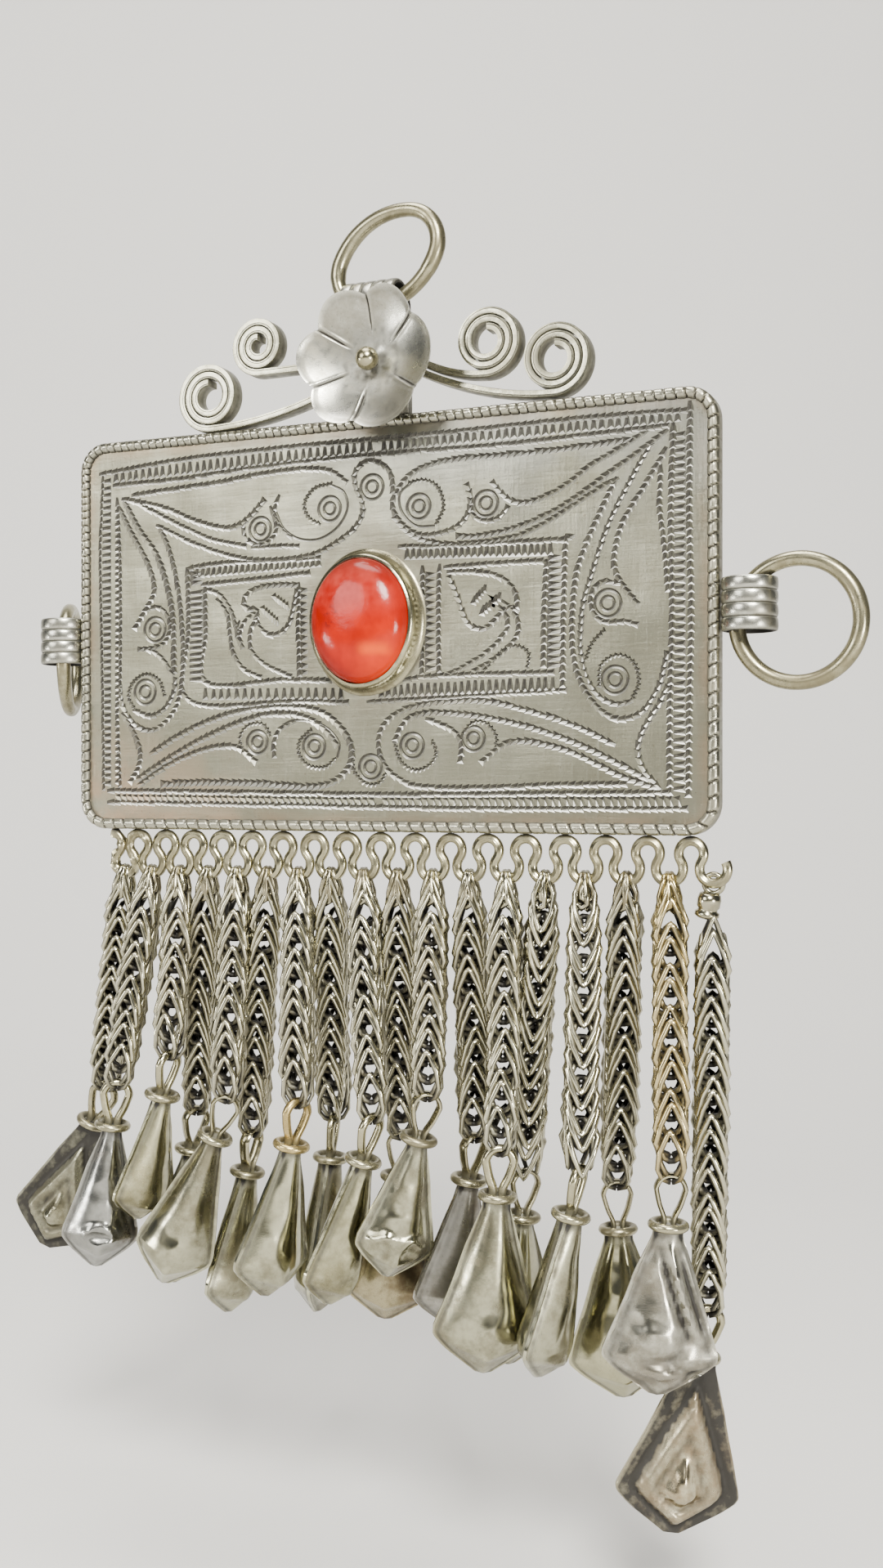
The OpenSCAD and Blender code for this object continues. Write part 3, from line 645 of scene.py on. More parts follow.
def finish_of(kind):
    """The silver of one kind, made once."""
    if kind in MATERIALS:
        return MATERIALS[kind]
    c = settings()[1]
    light, worn, stain = tuple(c.light), tuple(c.worn), tuple(c.stain)
    # name, light, worn, stain, share of stain, roughness, dents in mm, share of specks, shift of the noise
    table = {
        "silver": ("old_silver", light, worn, stain, 0.35, 0.36, 0.03, 0.35, 0.0),
        "drop": ("drop_silver", (0.36, 0.35, 0.25), (0.24, 0.23, 0.16), (0.11, 0.09, 0.05), 0.5, 0.24, 0.010, 0.2, 5.0),
        "satin": ("satin_silver", (0.39, 0.38, 0.32), (0.26, 0.25, 0.20), (0.12, 0.09, 0.065), 0.45, 0.24, 0.010,
                  0.2, 19.0),
        "blue": ("bluish_silver", (0.27, 0.27, 0.25), (0.18, 0.18, 0.17), (0.11, 0.08, 0.05), 0.5, 0.27, 0.012, 0.25,
                 11.0),
        "brown": ("brown_silver", (0.30, 0.265, 0.165), (0.19, 0.16, 0.09), (0.10, 0.065, 0.04), 0.7, 0.36, 0.015, 0.3,
                  23.0),
        "stained": ("stained_silver", (0.48, 0.44, 0.31), (0.34, 0.30, 0.20), (0.20, 0.115, 0.05), 0.55, 0.22, 0.008,
                    0.35, 27.0),
        "dark": ("dark_silver", (0.28, 0.27, 0.24), (0.17, 0.16, 0.135), (0.10, 0.08, 0.055), 0.5, 0.38, 0.015, 0.25,
                 31.0),
        "olive": ("olive_silver", (0.34, 0.325, 0.215), (0.225, 0.215, 0.135), (0.11, 0.09, 0.045), 0.5, 0.25, 0.010,
                  0.2, 37.0),
        "brass": ("brassy_metal", tuple(c.brass), (0.32, 0.24, 0.10), (0.15, 0.10, 0.04), 0.45, 0.30, 0.02, 0.2, 41.0),
        "pale": ("pale_silver", (0.41, 0.405, 0.355), (0.31, 0.305, 0.26), stain, 0.3, 0.34, 0.02, 0.35, 53.0),
        "wire": ("wire_silver", (0.34, 0.315, 0.205), (0.23, 0.21, 0.13), (0.12, 0.095, 0.045), 0.5, 0.28, 0.02, 0.25,
                 61.0),
        "strip": ("strip_silver", (0.34, 0.33, 0.25), (0.235, 0.225, 0.16), (0.12, 0.10, 0.055), 0.5, 0.30, 0.01, 0.25,
                  67.0),
        "chain": ("chain_silver", (0.36, 0.34, 0.245), (0.24, 0.22, 0.15), (0.13, 0.10, 0.05), 0.4, 0.27, 0.005, 0.2,
                  71.0),
        "chain_brass": ("chain_brassy", (0.40, 0.33, 0.17), (0.27, 0.21, 0.095), (0.14, 0.095, 0.035), 0.4, 0.27, 0.005,
                        0.2, 83.0),
    }
    MATERIALS[kind] = silver(*table[kind], tuple(c.oxide))
    return MATERIALS[kind]


# ---------------------------------------------------------------- plate

def slab(bm, w, h, low_y, high_y, r, cell):
    """A plate with rounded corners between two depths, in small cells."""
    verts = bmesh.ops.create_cube(bm, size=1.0)["verts"]
    bmesh.ops.scale(bm, vec=(w, high_y - low_y, h), verts=verts)
    bmesh.ops.translate(bm, vec=(0, (low_y + high_y) / 2, 0), verts=verts)
    corners = [e for e in bm.edges if abs(e.verts[0].co.y - e.verts[1].co.y) > 0.5 * (high_y - low_y)]
    bmesh.ops.bevel(bm, geom=corners, offset=r, offset_type="OFFSET", affect="EDGES", segments=6, profile=0.5,
                    material=-1)
    for size, way in ((w, (1, 0, 0)), (h, (0, 0, 1))):
        count = int(size / cell)
        for i in range(1, count):
            spot = Vector(way) * (size * i / count - size / 2 + 0.003 * (i % 3))
            bmesh.ops.bisect_plane(bm, geom=[*bm.verts, *bm.edges, *bm.faces], plane_co=spot, plane_no=way)
    bmesh.ops.triangulate(bm, faces=bm.faces)


class Graver:
    """The shapes that are cut out of the sheet, kept in sets whose shapes don't touch each other."""

    def __init__(self):
        self.sets = []

    def room(self, low, high):
        """A set in which nothing lies between the two corners yet."""
        for bm, taken in self.sets:
            if all(high[0] < a[0] or high[1] < a[1] or b[0] < low[0] or b[1] < low[1] for a, b in taken):
                break
        else:
            bm, taken = bmesh.new(), []
            self.sets.append((bm, taken))
        taken.append((low, high))
        return bm

    def wedge(self, x, z, angle, reach, width, depth):
        """One nick: it starts narrow and ends wide and deep."""
        c, s = math.cos(angle), math.sin(angle)
        over = 0.06
        wide = width / 2 * (1 + over / depth)
        spots = [(x + u * c - w * s, d, z + u * s + w * c)
                 for u, w, d in ((-reach, -0.45 * wide, -over), (0.0, -wide, -over), (0.0, wide, -over),
                                 (-reach, 0.45 * wide, -over), (-0.3 * reach, 0.0, depth))]
        xs, zs = [p[0] for p in spots], [p[2] for p in spots]
        bm = self.room((min(xs) - 0.01, min(zs) - 0.01), (max(xs) + 0.01, max(zs) + 0.01))
        verts = bmesh.ops.create_cone(bm, cap_ends=True, segments=4, radius1=1.0, radius2=0.0, depth=1.0)["verts"]
        verts.sort(key=lambda v: (v.co.z > 0, math.atan2(v.co.y, v.co.x)))
        for v, spot in zip(verts, spots):
            v.co = spot

    def groove(self, points, width, depth, closed=False):
        """An even groove along a line."""
        path = even(points, 0.3, True) if closed else smooth_path(points, 0.35)
        xs, zs = [p.x for p in path], [p.z for p in path]
        bm = self.room((min(xs) - width, min(zs) - width), (max(xs) + width, max(zs) + width))
        corners = ((0, depth), (width * 0.7, -0.1), (-width * 0.7, -0.1))
        wire(bm, path, 3, lambda i, a: corners[round(a / TAU * 3) % 3], closed=closed, across=Vector((0, 1, 0)))

    def stroke(self, kind, width, points, step, depth):
        """One engraved line: a plain groove, a row of nicks, or a line with barbs on one side."""
        if kind == "line":
            self.groove([(x, -0.03, z) for x, z in points], width * 1.7, depth * 0.7)
            return
        path = smooth_path([(x, 0, z) for x, z in points], step * (0.62 if kind == "barb" else 1.0))
        for a, b in zip(path, path[1:]):
            angle = math.atan2(b.z - a.z, b.x - a.x)
            shake = noise.noise((a.x * 3.1, a.z * 2.7, width * 9))
            if kind == "barb":
                self.wedge(b.x, b.z, angle, step * 0.75, width * 0.85, depth * 0.8)
                turn = angle + math.radians(62 + 12 * shake)
                self.wedge(a.x + 0.34 * math.cos(turn), a.z + 0.34 * math.sin(turn), turn, 0.7, width * 1.0, depth)
            else:
                self.wedge(b.x, b.z, angle + 0.15 * shake, (b - a).length * 1.7, width * (1.7 + 0.3 * shake),
                           depth * (1 + 0.2 * shake))


def border_path(inset, step):
    w, h, r = PLATE_W / 2 - inset, PLATE_H / 2 - inset, CORNER_R - inset
    points = []
    for cx, cz, start in ((w - r, h - r, 0), (r - w, h - r, 90), (r - w, r - h, 180), (w - r, r - h, 270)):
        points += arc(cx, cz, r, start, start + 90, 0.0, 10)
    points.append(points[0])
    return even(points, step, True)


class PENDANT_OT_plate(bpy.types.Operator):
    """Engraved sheet, notched border wire and the stone's bezel"""
    bl_idname = "pendant.plate"
    bl_label = "Plate"

    def execute(self, context):
        sizes, colours = settings()
        depth = sizes.groove * 1000
        bm = bmesh.new()
        slab(bm, PLATE_W - 1.2, PLATE_H - 1.2, 0.0, 1.2, CORNER_R - 0.6, 1.1)
        engraved = as_mesh(bm, "sheet")
        graver = Graver()
        for kind, width, points in LINES:
            graver.stroke(kind, width, points, sizes.nick_step * 1000, depth)
        for a0, a1, b0, b1, count in TICKS:
            for i in range(count):
                t = (i + 0.5 + 0.12 * noise.noise((i * 1.7, a0[0], a0[1]))) / count
                head = Vector(a0).lerp(Vector(b0), t)
                tail = Vector(a1).lerp(Vector(b1), t)
                run = head - tail
                shake = noise.noise((i * 0.9, a0[1], a0[0]))
                graver.wedge(head.x, head.y, math.atan2(run.y, run.x), run.length * (1.22 + 0.1 * shake),
                             0.82 + 0.12 * shake, depth)
        for x, z, r in CIRCLES:
            for radius in (r * 1.18, r * 0.6):
                graver.groove(arc(x, z, radius, 0, 360, -0.03, 24), 0.48, depth * 0.8, True)
        for bm, _ in graver.sets:
            bmesh.ops.recalc_face_normals(bm, faces=bm.faces)
            engraved = cut(engraved, bm)
        bm = bmesh.new()
        bm.from_mesh(engraved)
        bpy.data.meshes.remove(engraved)
        dark, bright = bm.faces.layers.float.new("hollow"), bm.faces.layers.float.new("rubbed")
        for f in bm.faces:
            deep = max(v.co.y for v in f.verts)
            if f.normal.y > -0.995 and deep < 0.6:
                # Painted light: walls that look up and to the left get a painted highlight, the others painted shade;
                # all keep a little oxide
                way = (f.normal.z - 0.45 * f.normal.x) / max(0.05, math.hypot(f.normal.x, f.normal.z))
                f[dark] = 0.12 + 0.83 * (1 - smooth_step(-0.45, 0.55, way))
                f[bright] = smooth_step(0.1, 0.8, way)
            elif deep > 0.6:
                f[dark] = 0.2
        finish(bm, "engraved_sheet", self.sheet_finish(colours), replaces=["plate"], sharp=12.0, weld=False, worn=0)
        self.border(sizes.rim_step * 1000)
        self.bezel()
        return {"FINISHED"}

    def sheet_finish(self, colours):
        """Satin sheet with fine strokes of polishing, browner near the border and darker round the stone, with painted
        shade and painted highlights on the groove walls.
        """
        paint = Paint("engraved_silver")
        x, z = paint.part(0) - HOME.x * 1000, paint.part(2) - HOME.z * 1000
        broad = paint.noise(0.05, 3.0, 0.55, shift=97.0)
        soft = paint.noise(0.22, 4.0, 0.6, shift=17.0)
        fine = paint.noise(1.6, 4.0, 0.6, shift=29.0)
        strokes = paint.noise(0.55, 5.0, 0.7, (0.25, 1.0, 3.2), shift=13.0)
        upright = paint.noise(0.55, 5.0, 0.7, (3.0, 1.0, 0.3), shift=37.0)
        hollow = paint.attribute("hollow").clamped()
        base = paint.mix(broad.between(0.3, 0.7), (0.245, 0.24, 0.182), (0.19, 0.185, 0.135))
        base = paint.mix((soft * 0.7 + strokes * 0.5).between(0.42, 0.78) * 0.5, base, (0.12, 0.112, 0.078))
        base = paint.mix(upright.between(0.52, 0.8) * 0.3, base, (0.34, 0.335, 0.275))
        edge_x = x.math("ABSOLUTE").between(PLATE_W / 2 - 3.0, PLATE_W / 2 - 1.25)
        edge_z = z.math("ABSOLUTE").between(PLATE_H / 2 - 2.8, PLATE_H / 2 - 1.2)
        base = paint.mix((edge_x + edge_z).clamped() * soft.between(0.25, 0.62) * 0.8, base, (0.21, 0.165, 0.11))
        bluish = z.between(4.0, 23.0) * x.between(-34.0, 20.0) * paint.noise(0.1, 3.0, shift=9.0).between(0.38, 0.6)
        base = paint.mix(bluish * 0.5, base, (0.215, 0.222, 0.215))
        rosy = (1.0 - x.between(-36.0, -8.0)) * (1.0 - z.between(-21.0, -8.0))
        base = paint.mix(rosy * soft.between(0.3, 0.6) * 0.7, base, (0.33, 0.235, 0.155))
        near = (x - STONE_X) * (x - STONE_X) / 120.0 + (z - STONE_Z) * (z - STONE_Z) / 150.0
        darker_round_stone = (1.0 - near.between(0.35, 1.25)) * paint.noise(0.35, 4.0, shift=4.0).between(0.3, 0.62)
        base = paint.mix(darker_round_stone * 0.75, base, (0.15, 0.135, 0.10))
        specks = paint.noise(2.6, 3.0, 0.55, shift=53.0)
        base = paint.mix(specks.between(0.62, 0.72) * 0.5, base, (0.12, 0.10, 0.07))
        # Grooves: oxide, painted shade on the walls that face down and a painted highlight on those that face up
        darkening = (hollow * (fine * 0.7 + 0.62)).clamped()
        base = paint.mix(paint.attribute("rubbed").clamped() * 0.75, base, (0.80, 0.79, 0.72))
        base = paint.mix(darkening, base, tuple(colours.oxide))
        wavy = paint.bump(paint.noise(0.10, 1.0, 0.3, shift=71.0), 0.5)
        satin = paint.bump(strokes + upright + fine * 0.5, 0.03, wavy)
        return paint.shader(Base_Color=base, Metallic=1.0 - darkening * 0.6, Normal=satin,
                            Roughness=(soft * 0.2 + strokes * 0.16 + darkening * 0.35 + 0.17).clamped())

    def border(self, pitch):
        """A half-round border wire on a plain back strip, notched along its front."""
        half = RIM_W / 2
        path = border_path(half, 0.145)
        phases, phase = [], 0.0
        for a, b in zip(path, path[1:] + path[:1]):
            phases.append(phase)
            local = 1 + 0.06 * a.x / 40 - 0.20 * a.z / 23.5 - 0.12 * smooth_step(36.0, 39.0, -a.x)
            phase += (b - a).length / (pitch * (local + 0.06 * noise.noise((a.x * 0.3, a.z * 0.3, 0))))
        turns = round(phase)
        phases = [p * turns / phase for p in phases]
        front, back = -0.6, RIM_BACK

        def section(i, angle):
            c, s = math.cos(angle), math.sin(angle)
            if s > 0.2:
                return half * 0.96 * clamp(c * 1.25, -1.0), back - 0.02 if s > 0.75 else back * 0.75
            lean = phases[i] + 0.16 * c
            notch = max(0.0, math.cos(TAU * lean)) ** 9
            fade = clamp(-s * 1.6 + 0.35)
            r = half * (1 - 0.44 * notch * fade)
            return r * c, front + half + r * s

        bm = bmesh.new()
        wire(bm, path, 14, section, closed=True, across=Vector((0, 1, 0)))

        def depth_of(p):
            if p.y > 0.4:
                return 0.3
            over_x, over_z = abs(p.x) - PLATE_W / 2 + CORNER_R, abs(p.z) - PLATE_H / 2 + CORNER_R
            out = math.hypot(max(0.0, over_x), max(0.0, over_z)) + min(0.0, max(over_x, over_z))
            inset = CORNER_R - out
            notch = 1 - math.hypot(inset - half, min(0.0, p.y - front - half)) / half
            return max(0.0, (inset / RIM_W - 0.75) * 3.2) + max(0.0, p.y * 1.2) + max(0.0, notch - 0.12) * 2.2
        mark_oxide_and_shade(bm, depth_of)
        finish(bm, "border_wire", finish_of("silver"), sharp=38.0)

    def bezel(self):
        """The rub-over wall that holds the stone, wider at its foot."""
        profile = [(1.25, 0.0), (1.05, -0.12), (0.75, -0.3), (0.5, -1.0), (0.42, -1.75), (0.22, -2.0),
                   (-0.05, -2.08), (-0.12, -1.95), (0.02, -1.6), (0.04, 0.0)]
        turns = 96

        def place(row, col):
            a = TAU * (row % turns) / turns
            out, y = profile[col]
            wave = 1 + 0.012 * noise.noise((math.cos(a) * 2.2, math.sin(a) * 2.2, 0.0))
            ca, sa = math.cos(a), math.sin(a)
            n = Vector((ca / STONE_A, 0, sa / STONE_B)).normalized()
            edge = Vector((STONE_A * ca, 0, STONE_B * sa)) * wave
            spot = edge + n * out
            return Vector((STONE_X + spot.x, y + 0.03, STONE_Z + spot.z))
        bm = bmesh.new()
        skin(bm, turns, len(profile) - 1, place)
        bmesh.ops.remove_doubles(bm, verts=bm.verts, dist=WELD)
        bmesh.ops.holes_fill(bm, edges=[e for e in bm.edges if e.is_boundary], sides=0)
        mark_oxide_and_shade(bm, lambda p: 0.75 if p.y > -0.08 else 0.7 if p.y < -1.9 and (
            ((p.x - STONE_X) / STONE_A) ** 2 + ((p.z - STONE_Z) / STONE_B) ** 2) < 0.98 else 0.0)
        finish(bm, "bezel", finish_of("wire"), sharp=50.0)


# ---------------------------------------------------------------- stone

class PENDANT_OT_stone(bpy.types.Operator):
    """Oval orange-red cabochon"""
    bl_idname = "pendant.stone"
    bl_label = "Stone"

    def execute(self, context):
        bm = bmesh.new()
        rings, turns = 20, 72

        def place(row, col):
            a = TAU * (row % turns) / turns
            t = col / rings
            if col >= rings:
                return Vector((STONE_X, -STONE_DOME, STONE_Z))
            up = math.sin(t * math.pi / 2) ** 0.9
            out = math.cos(t * math.pi / 2) ** 0.75
            y = -1.55 - (STONE_DOME - 1.55) * up
            wave = 0.05 * noise.noise((math.cos(a) * out * 2, math.sin(a) * out * 2, 3.0))
            return Vector((STONE_X + 0.985 * STONE_A * out * math.cos(a), y + wave,
                           STONE_Z + 0.985 * STONE_B * out * math.sin(a)))
        skin(bm, turns, rings, place)
        bmesh.ops.remove_doubles(bm, verts=bm.verts, dist=WELD)
        rim = [e for e in bm.edges if e.is_boundary]
        low = bmesh.ops.extrude_edge_only(bm, edges=rim)
        new = [g for g in low["geom"] if isinstance(g, bmesh.types.BMVert)]
        for v in new:
            v.co.y = -0.05
        bmesh.ops.holes_fill(bm, edges=[e for e in bm.edges if e.is_boundary], sides=0)
        finish(bm, "stone", self.paint(), replaces=["stone"], sharp=60.0)
        return {"FINISHED"}

    def paint(self):
        colours = settings()[1]
        paint = Paint("red_stone")
        x = (paint.part(0) - HOME.x * 1000 - STONE_X) / STONE_A
        z = (paint.part(2) - HOME.z * 1000 - STONE_Z) / STONE_B
        cloud = paint.noise(0.22, 3.0, 0.6, shift=6.0)
        veins = paint.noise(0.9, 4.0, 0.65, shift=8.0)
        # Painted light: glow marks where light gathers in the lower part of the stone, towards the right
        glow = (1.0 - z.between(-0.95, 0.15)) * x.between(-0.35, 0.7)
        edge = (x * x + z * z).between(0.45, 1.0)
        base = paint.mix(cloud.between(0.35, 0.65), tuple(colours.stone), (0.30, 0.008, 0.001))
        base = paint.mix(edge * 0.5, base, (0.15, 0.005, 0.002))
        # A painted pinkish sheen over the upper middle, laid on the stone's own clouds
        pale = z.between(-0.1, 0.6) * (1.0 - edge) * cloud.between(0.35, 0.6)
        base = paint.mix(pale * 0.45, base, (0.30, 0.055, 0.045))
        base = paint.mix(glow * 0.9, base, tuple(colours.stone_glow))
        # A painted crescent of light near the foot of the stone
        painted_crescent = (1.0 - z.between(-0.62, -0.30)) * z.between(-0.62, -0.42) * x.between(0.05, 0.35)
        painted_crescent = painted_crescent * (1.0 - x.between(0.6, 0.8))
        base = paint.mix(painted_crescent * 0.8, base, (0.72, 0.10, 0.0))
        # Painted shade towards the top of the stone
        base = paint.mix(z.between(0.45, 1.0) * 0.7, base, (0.10, 0.014, 0.01))
        spots = ((x + 0.42) * (x + 0.42) + (z - 0.05) * (z - 0.05)).between(0.0, 0.05)
        base = paint.mix((1.0 - spots) * veins.between(0.45, 0.6) * 0.8, base, (0.05, 0.01, 0.01))
        # The painted glow also shines of itself through emission
        painted_glow = paint.mix(glow * cloud.between(0.3, 0.6), (0.06, 0.001, 0.0), (1.0, 0.055, 0.0))
        return paint.shader(Base_Color=base, Roughness=(veins * 0.16 + 0.07).clamped(), IOR=1.27,
                            Emission_Color=painted_glow, Emission_Strength=0.17, Normal=paint.bump(veins, 0.03))


# ---------------------------------------------------------------- flower

class PENDANT_OT_flower(bpy.types.Operator):
    """Six-petal dished flower with a ball in the middle"""
    bl_idname = "pendant.flower"
    bl_label = "Flower"

    seams = (-32, 40, 90, 148, 202, 257)

    def petal(self, deg):
        """Where an angle lies: petal number, share across the petal from -1 to 1."""
        for k, s in enumerate(self.seams):
            e = self.seams[(k + 1) % 6] + (360 if k == 5 else 0)
            d = (deg - s) % 360 + s
            if s <= d < e:
                return k, 2 * (d - s) / (e - s) - 1, (e - s) / 60
        return 0, 0.0, 1.0

    def execute(self, context):
        turns, rings = 240, 26
        thick = 0.5

        def outline(a):
            k, across, wide = self.petal(math.degrees(a))
            phi = math.radians(30) * across
            r = 4.3 * math.cos(phi) + math.sqrt(16 - (4.3 * math.sin(phi)) ** 2)
            return r * (0.985 + 0.012 * math.sin(k * 2.4))

        def height(a, share):
            k, across, _ = self.petal(math.degrees(a))
            r = share * outline(a)
            dish = 13.6 - math.sqrt(max(0.0, 13.6 ** 2 - r * r))
            puff = 0.04 * math.sin(math.pi * min(1.0, share)) * (1 - across * across)
            off = (1 - abs(across)) * share * 4.2
            grown = smooth_step(0.38, 0.62, share)
            ridge = 0.10 * bell(off, 0.32, 0.22) * grown
            slit = 0.20 * bell(off, 0, 0.13) * grown
            lip = 0.20 * smooth_step(0.91, 0.985, share)
            hand = 0.10 * noise.noise((math.cos(a) * share * 2, math.sin(a) * share * 2, 3.0))
            return -dish + puff - ridge * (1 if across > 0 else 0.35) + slit - lip + hand

        def place(row, col):
            a = TAU * (row % turns) / turns
            front = col <= rings
            share = (col if front else 2 * rings + 1 - col) / rings
            if share <= 0:
                return Vector((FLOWER_X, FLOWER_BACK - 0.7 if front else FLOWER_BACK - 0.02, FLOWER_Z))
            r = share * outline(a) - (0.0 if front else 0.05)
            y = FLOWER_BACK - 0.02 + height(a, share) - (thick if front else 0.0) * (1.0 - 0.35 * share ** 6)
            return Vector((FLOWER_X + r * math.cos(a), y, FLOWER_Z + r * math.sin(a)))
        bm = bmesh.new()
        skin(bm, turns, 2 * rings + 1, place)

        def depth_of(p):
            dx, dz = p.x - FLOWER_X, p.z - FLOWER_Z
            r = math.hypot(dx, dz)
            a = math.degrees(math.atan2(dz, dx))
            _, across, _ = self.petal(a)
            seam = bell((1 - abs(across)) * r * 0.52, 0, 0.14) * smooth_step(3.2, 4.6, r)
            mottle = 0.5 + 0.9 * noise.noise((p.x * 1.3, 0.0, p.z * 1.3))
            middle = (0.62 * (1 - smooth_step(1.2, 5.4, r)) + 0.30 * bell(r, 3.4, 0.5)) * mottle
            return max(seam * 0.8, middle, 0.35 if p.y > FLOWER_BACK - 0.1 else 0.0)
        mark_oxide_and_shade(bm, depth_of)
        finish(bm, "flower", finish_of("pale"), replaces=["flower"], sharp=55.0)

        bm = bmesh.new()
        ball = bmesh.ops.create_uvsphere(bm, u_segments=28, v_segments=16, radius=1.3)["verts"]
        bmesh.ops.translate(bm, vec=(0, -1.4 - 0.7, 0), verts=ball)
        post = bmesh.ops.create_cone(bm, cap_ends=True, segments=20, radius1=0.7, radius2=0.6, depth=1.4,
                                     matrix=Matrix.Rotation(math.pi / 2, 4, "X"))["verts"]
        bmesh.ops.translate(bm, vec=(0, -0.75, 0), verts=post)
        boss = bmesh.ops.create_cone(bm, cap_ends=True, segments=24, radius1=1.2, radius2=1.2, depth=2.3,
                                     matrix=Matrix.Rotation(math.pi / 2, 4, "X"))["verts"]
        bmesh.ops.translate(bm, vec=(0, 1.15, 0), verts=boss)
        bmesh.ops.translate(bm, vec=(FLOWER_X, FLOWER_BACK, FLOWER_Z), verts=bm.verts)
        mark_oxide_and_shade(bm, lambda p: 0.9 if p.y > FLOWER_BACK - 1.1 else max(0.0, 0.9 * (p.y - FLOWER_BACK + 1.9)))
        finish(bm, "flower_ball", finish_of("wire"), weld=False)
        return {"FINISHED"}


# ---------------------------------------------------------------- scrolls

class PENDANT_OT_scrolls(bpy.types.Operator):
    """Two scrolled strips on each side of the flower"""
    bl_idname = "pendant.scrolls"
    bl_label = "Scrolls"

    def execute(self, context):
        thick, deep = 0.80, 2.1
        quarter = [(0.40, 0.0), (0.40, 0.93), (0.35, 1.03), (0.20, 1.05), (0.16, 0.99), (0.12, 1.05), (-0.2, 1.05)]
        around = quarter + [(-0.35, 1.03), (-0.40, 0.93)]
        around += [(-u, -v) for u, v in around]
        for name, rows in SCROLLS.items():
            way = 1 if name == "scrolls_right" else -1
            bm = bmesh.new()
            for cx, cz, r, root_z in rows:
                dense = []
                start = Vector((cx, MID_Y, cz - r + thick / 2))
                root = Vector((FLOWER_X + way * 3.5, MID_Y, root_z))
                bend = Vector(((root.x + start.x) / 2, MID_Y, start.z))
                for i in range(24):
                    t = i / 24
                    dense.append(root * (1 - t) ** 2 + bend * 2 * t * (1 - t) + start * t * t)
                for i in range(200):
                    t = i / 199 * 2.5
                    a = -math.pi / 2 + t * TAU
                    q = r - thick / 2 - t * (thick + 0.1) + 0.02 * noise.noise((t * 3, cx, cz))
                    dense.append(Vector((cx + way * q * math.cos(a), MID_Y, cz + q * math.sin(a))))
                path = even(dense, 0.22)
                wire(bm, path, len(around), lambda i, a: around[round(a / TAU * len(around)) % len(around)],
                     across=Vector((0, 1, 0)))
            mark_oxide_and_shade(bm, lambda p: 0.6 if abs(p.y - MID_Y) < 0.5 else 0.3 if abs(p.y - MID_Y) < 0.95
                         else 0.55 if abs(abs(p.y - MID_Y) - 0.99) < 0.015 else 0.0)
            finish(bm, name, finish_of("strip"), replaces=[name], sharp=50.0)
        return {"FINISHED"}


# ---------------------------------------------------------------- bails and rings

def ribbed_tube(bm, half, ribs, centre, axis):
    """A short tube whose ribs stand out like turns of thick wire."""
    turns, steps = 48, 8
    rib = 2 * half / ribs
    outside = []
    for k in range(ribs):
        for i in range(steps):
            a = math.pi * i / steps
            outside.append((-half + rib * (k + 0.5) - rib / 2 * math.cos(a),
                            BAIL_R - rib * 0.22 + rib * 0.22 * math.sin(a) ** 0.5))
    outside.append((half, BAIL_R - rib * 0.22))
    profile = outside + [(half, BAIL_BORE_R + 0.02), (-half, BAIL_BORE_R + 0.02), outside[0]]
    side = Vector((0, 1, 0))
    up = axis.cross(side)

    def place(row, col):
        a = TAU * (row % turns) / turns
        along, r = profile[col]
        r = max(r, BAIL_BORE_R + 0.02) * (1 + 0.006 * noise.noise((math.cos(a) * 2, math.sin(a) * 2, along)))
        r = min(r, BAIL_R)
        return centre + axis * along + (side * math.cos(a) + up * math.sin(a)) * r
    skin(bm, turns, len(profile) - 1, place)

    def depth_of(p):
        off = p - centre
        along = off.dot(axis)
        r = (off - axis * along).length
        return 0.85 if r < BAIL_BORE_R + 0.1 else max(0.0, (BAIL_R - r - 0.08) / 0.26)
    return depth_of


class PENDANT_OT_bails(bpy.types.Operator):
    """Ribbed tubes that hold the three rings"""
    bl_idname = "pendant.bails"
    bl_label = "Bails"

    def execute(self, context):
        bm = bmesh.new()
        depth_of = ribbed_tube(bm, TOP_BAIL_HALF, TOP_RIBS, Vector(TOP_BAIL), Vector((1, 0, 0)))
        low, high = PLATE_H / 2 + GAP, TAB_TOP
        tab = bmesh.ops.create_cube(bm, size=1.0)["verts"]
        bmesh.ops.scale(bm, vec=(6.0, 1.2, high - low), verts=tab)
        bmesh.ops.translate(bm, vec=(FLOWER_X, MID_Y, (low + high) / 2), verts=tab)
        edges = list({e for v in tab for e in v.link_edges})
        bmesh.ops.bevel(bm, geom=edges, offset=0.15, offset_type="OFFSET", affect="EDGES", segments=2, profile=0.5,
                        material=-1)
        mark_oxide_and_shade(bm, lambda p: 0.45 if p.z < 33.3 else depth_of(p))
        finish(bm, "bail_top", finish_of("pale"), replaces=["bail_top"], sharp=60.0, worn=0)
        for name, x, z in (("bail_left", -SIDE_BAIL_X, -SIDE_BAIL_Z), ("bail_right", SIDE_BAIL_X, SIDE_BAIL_Z)):
            bm = bmesh.new()
            mark_oxide_and_shade(bm, ribbed_tube(bm, SIDE_BAIL_HALF, SIDE_RIBS, Vector((x, MID_Y, z)), Vector((0, 0, 1))))
            finish(bm, name, finish_of("pale"), replaces=[name], sharp=60.0, worn=0)
        return {"FINISHED"}


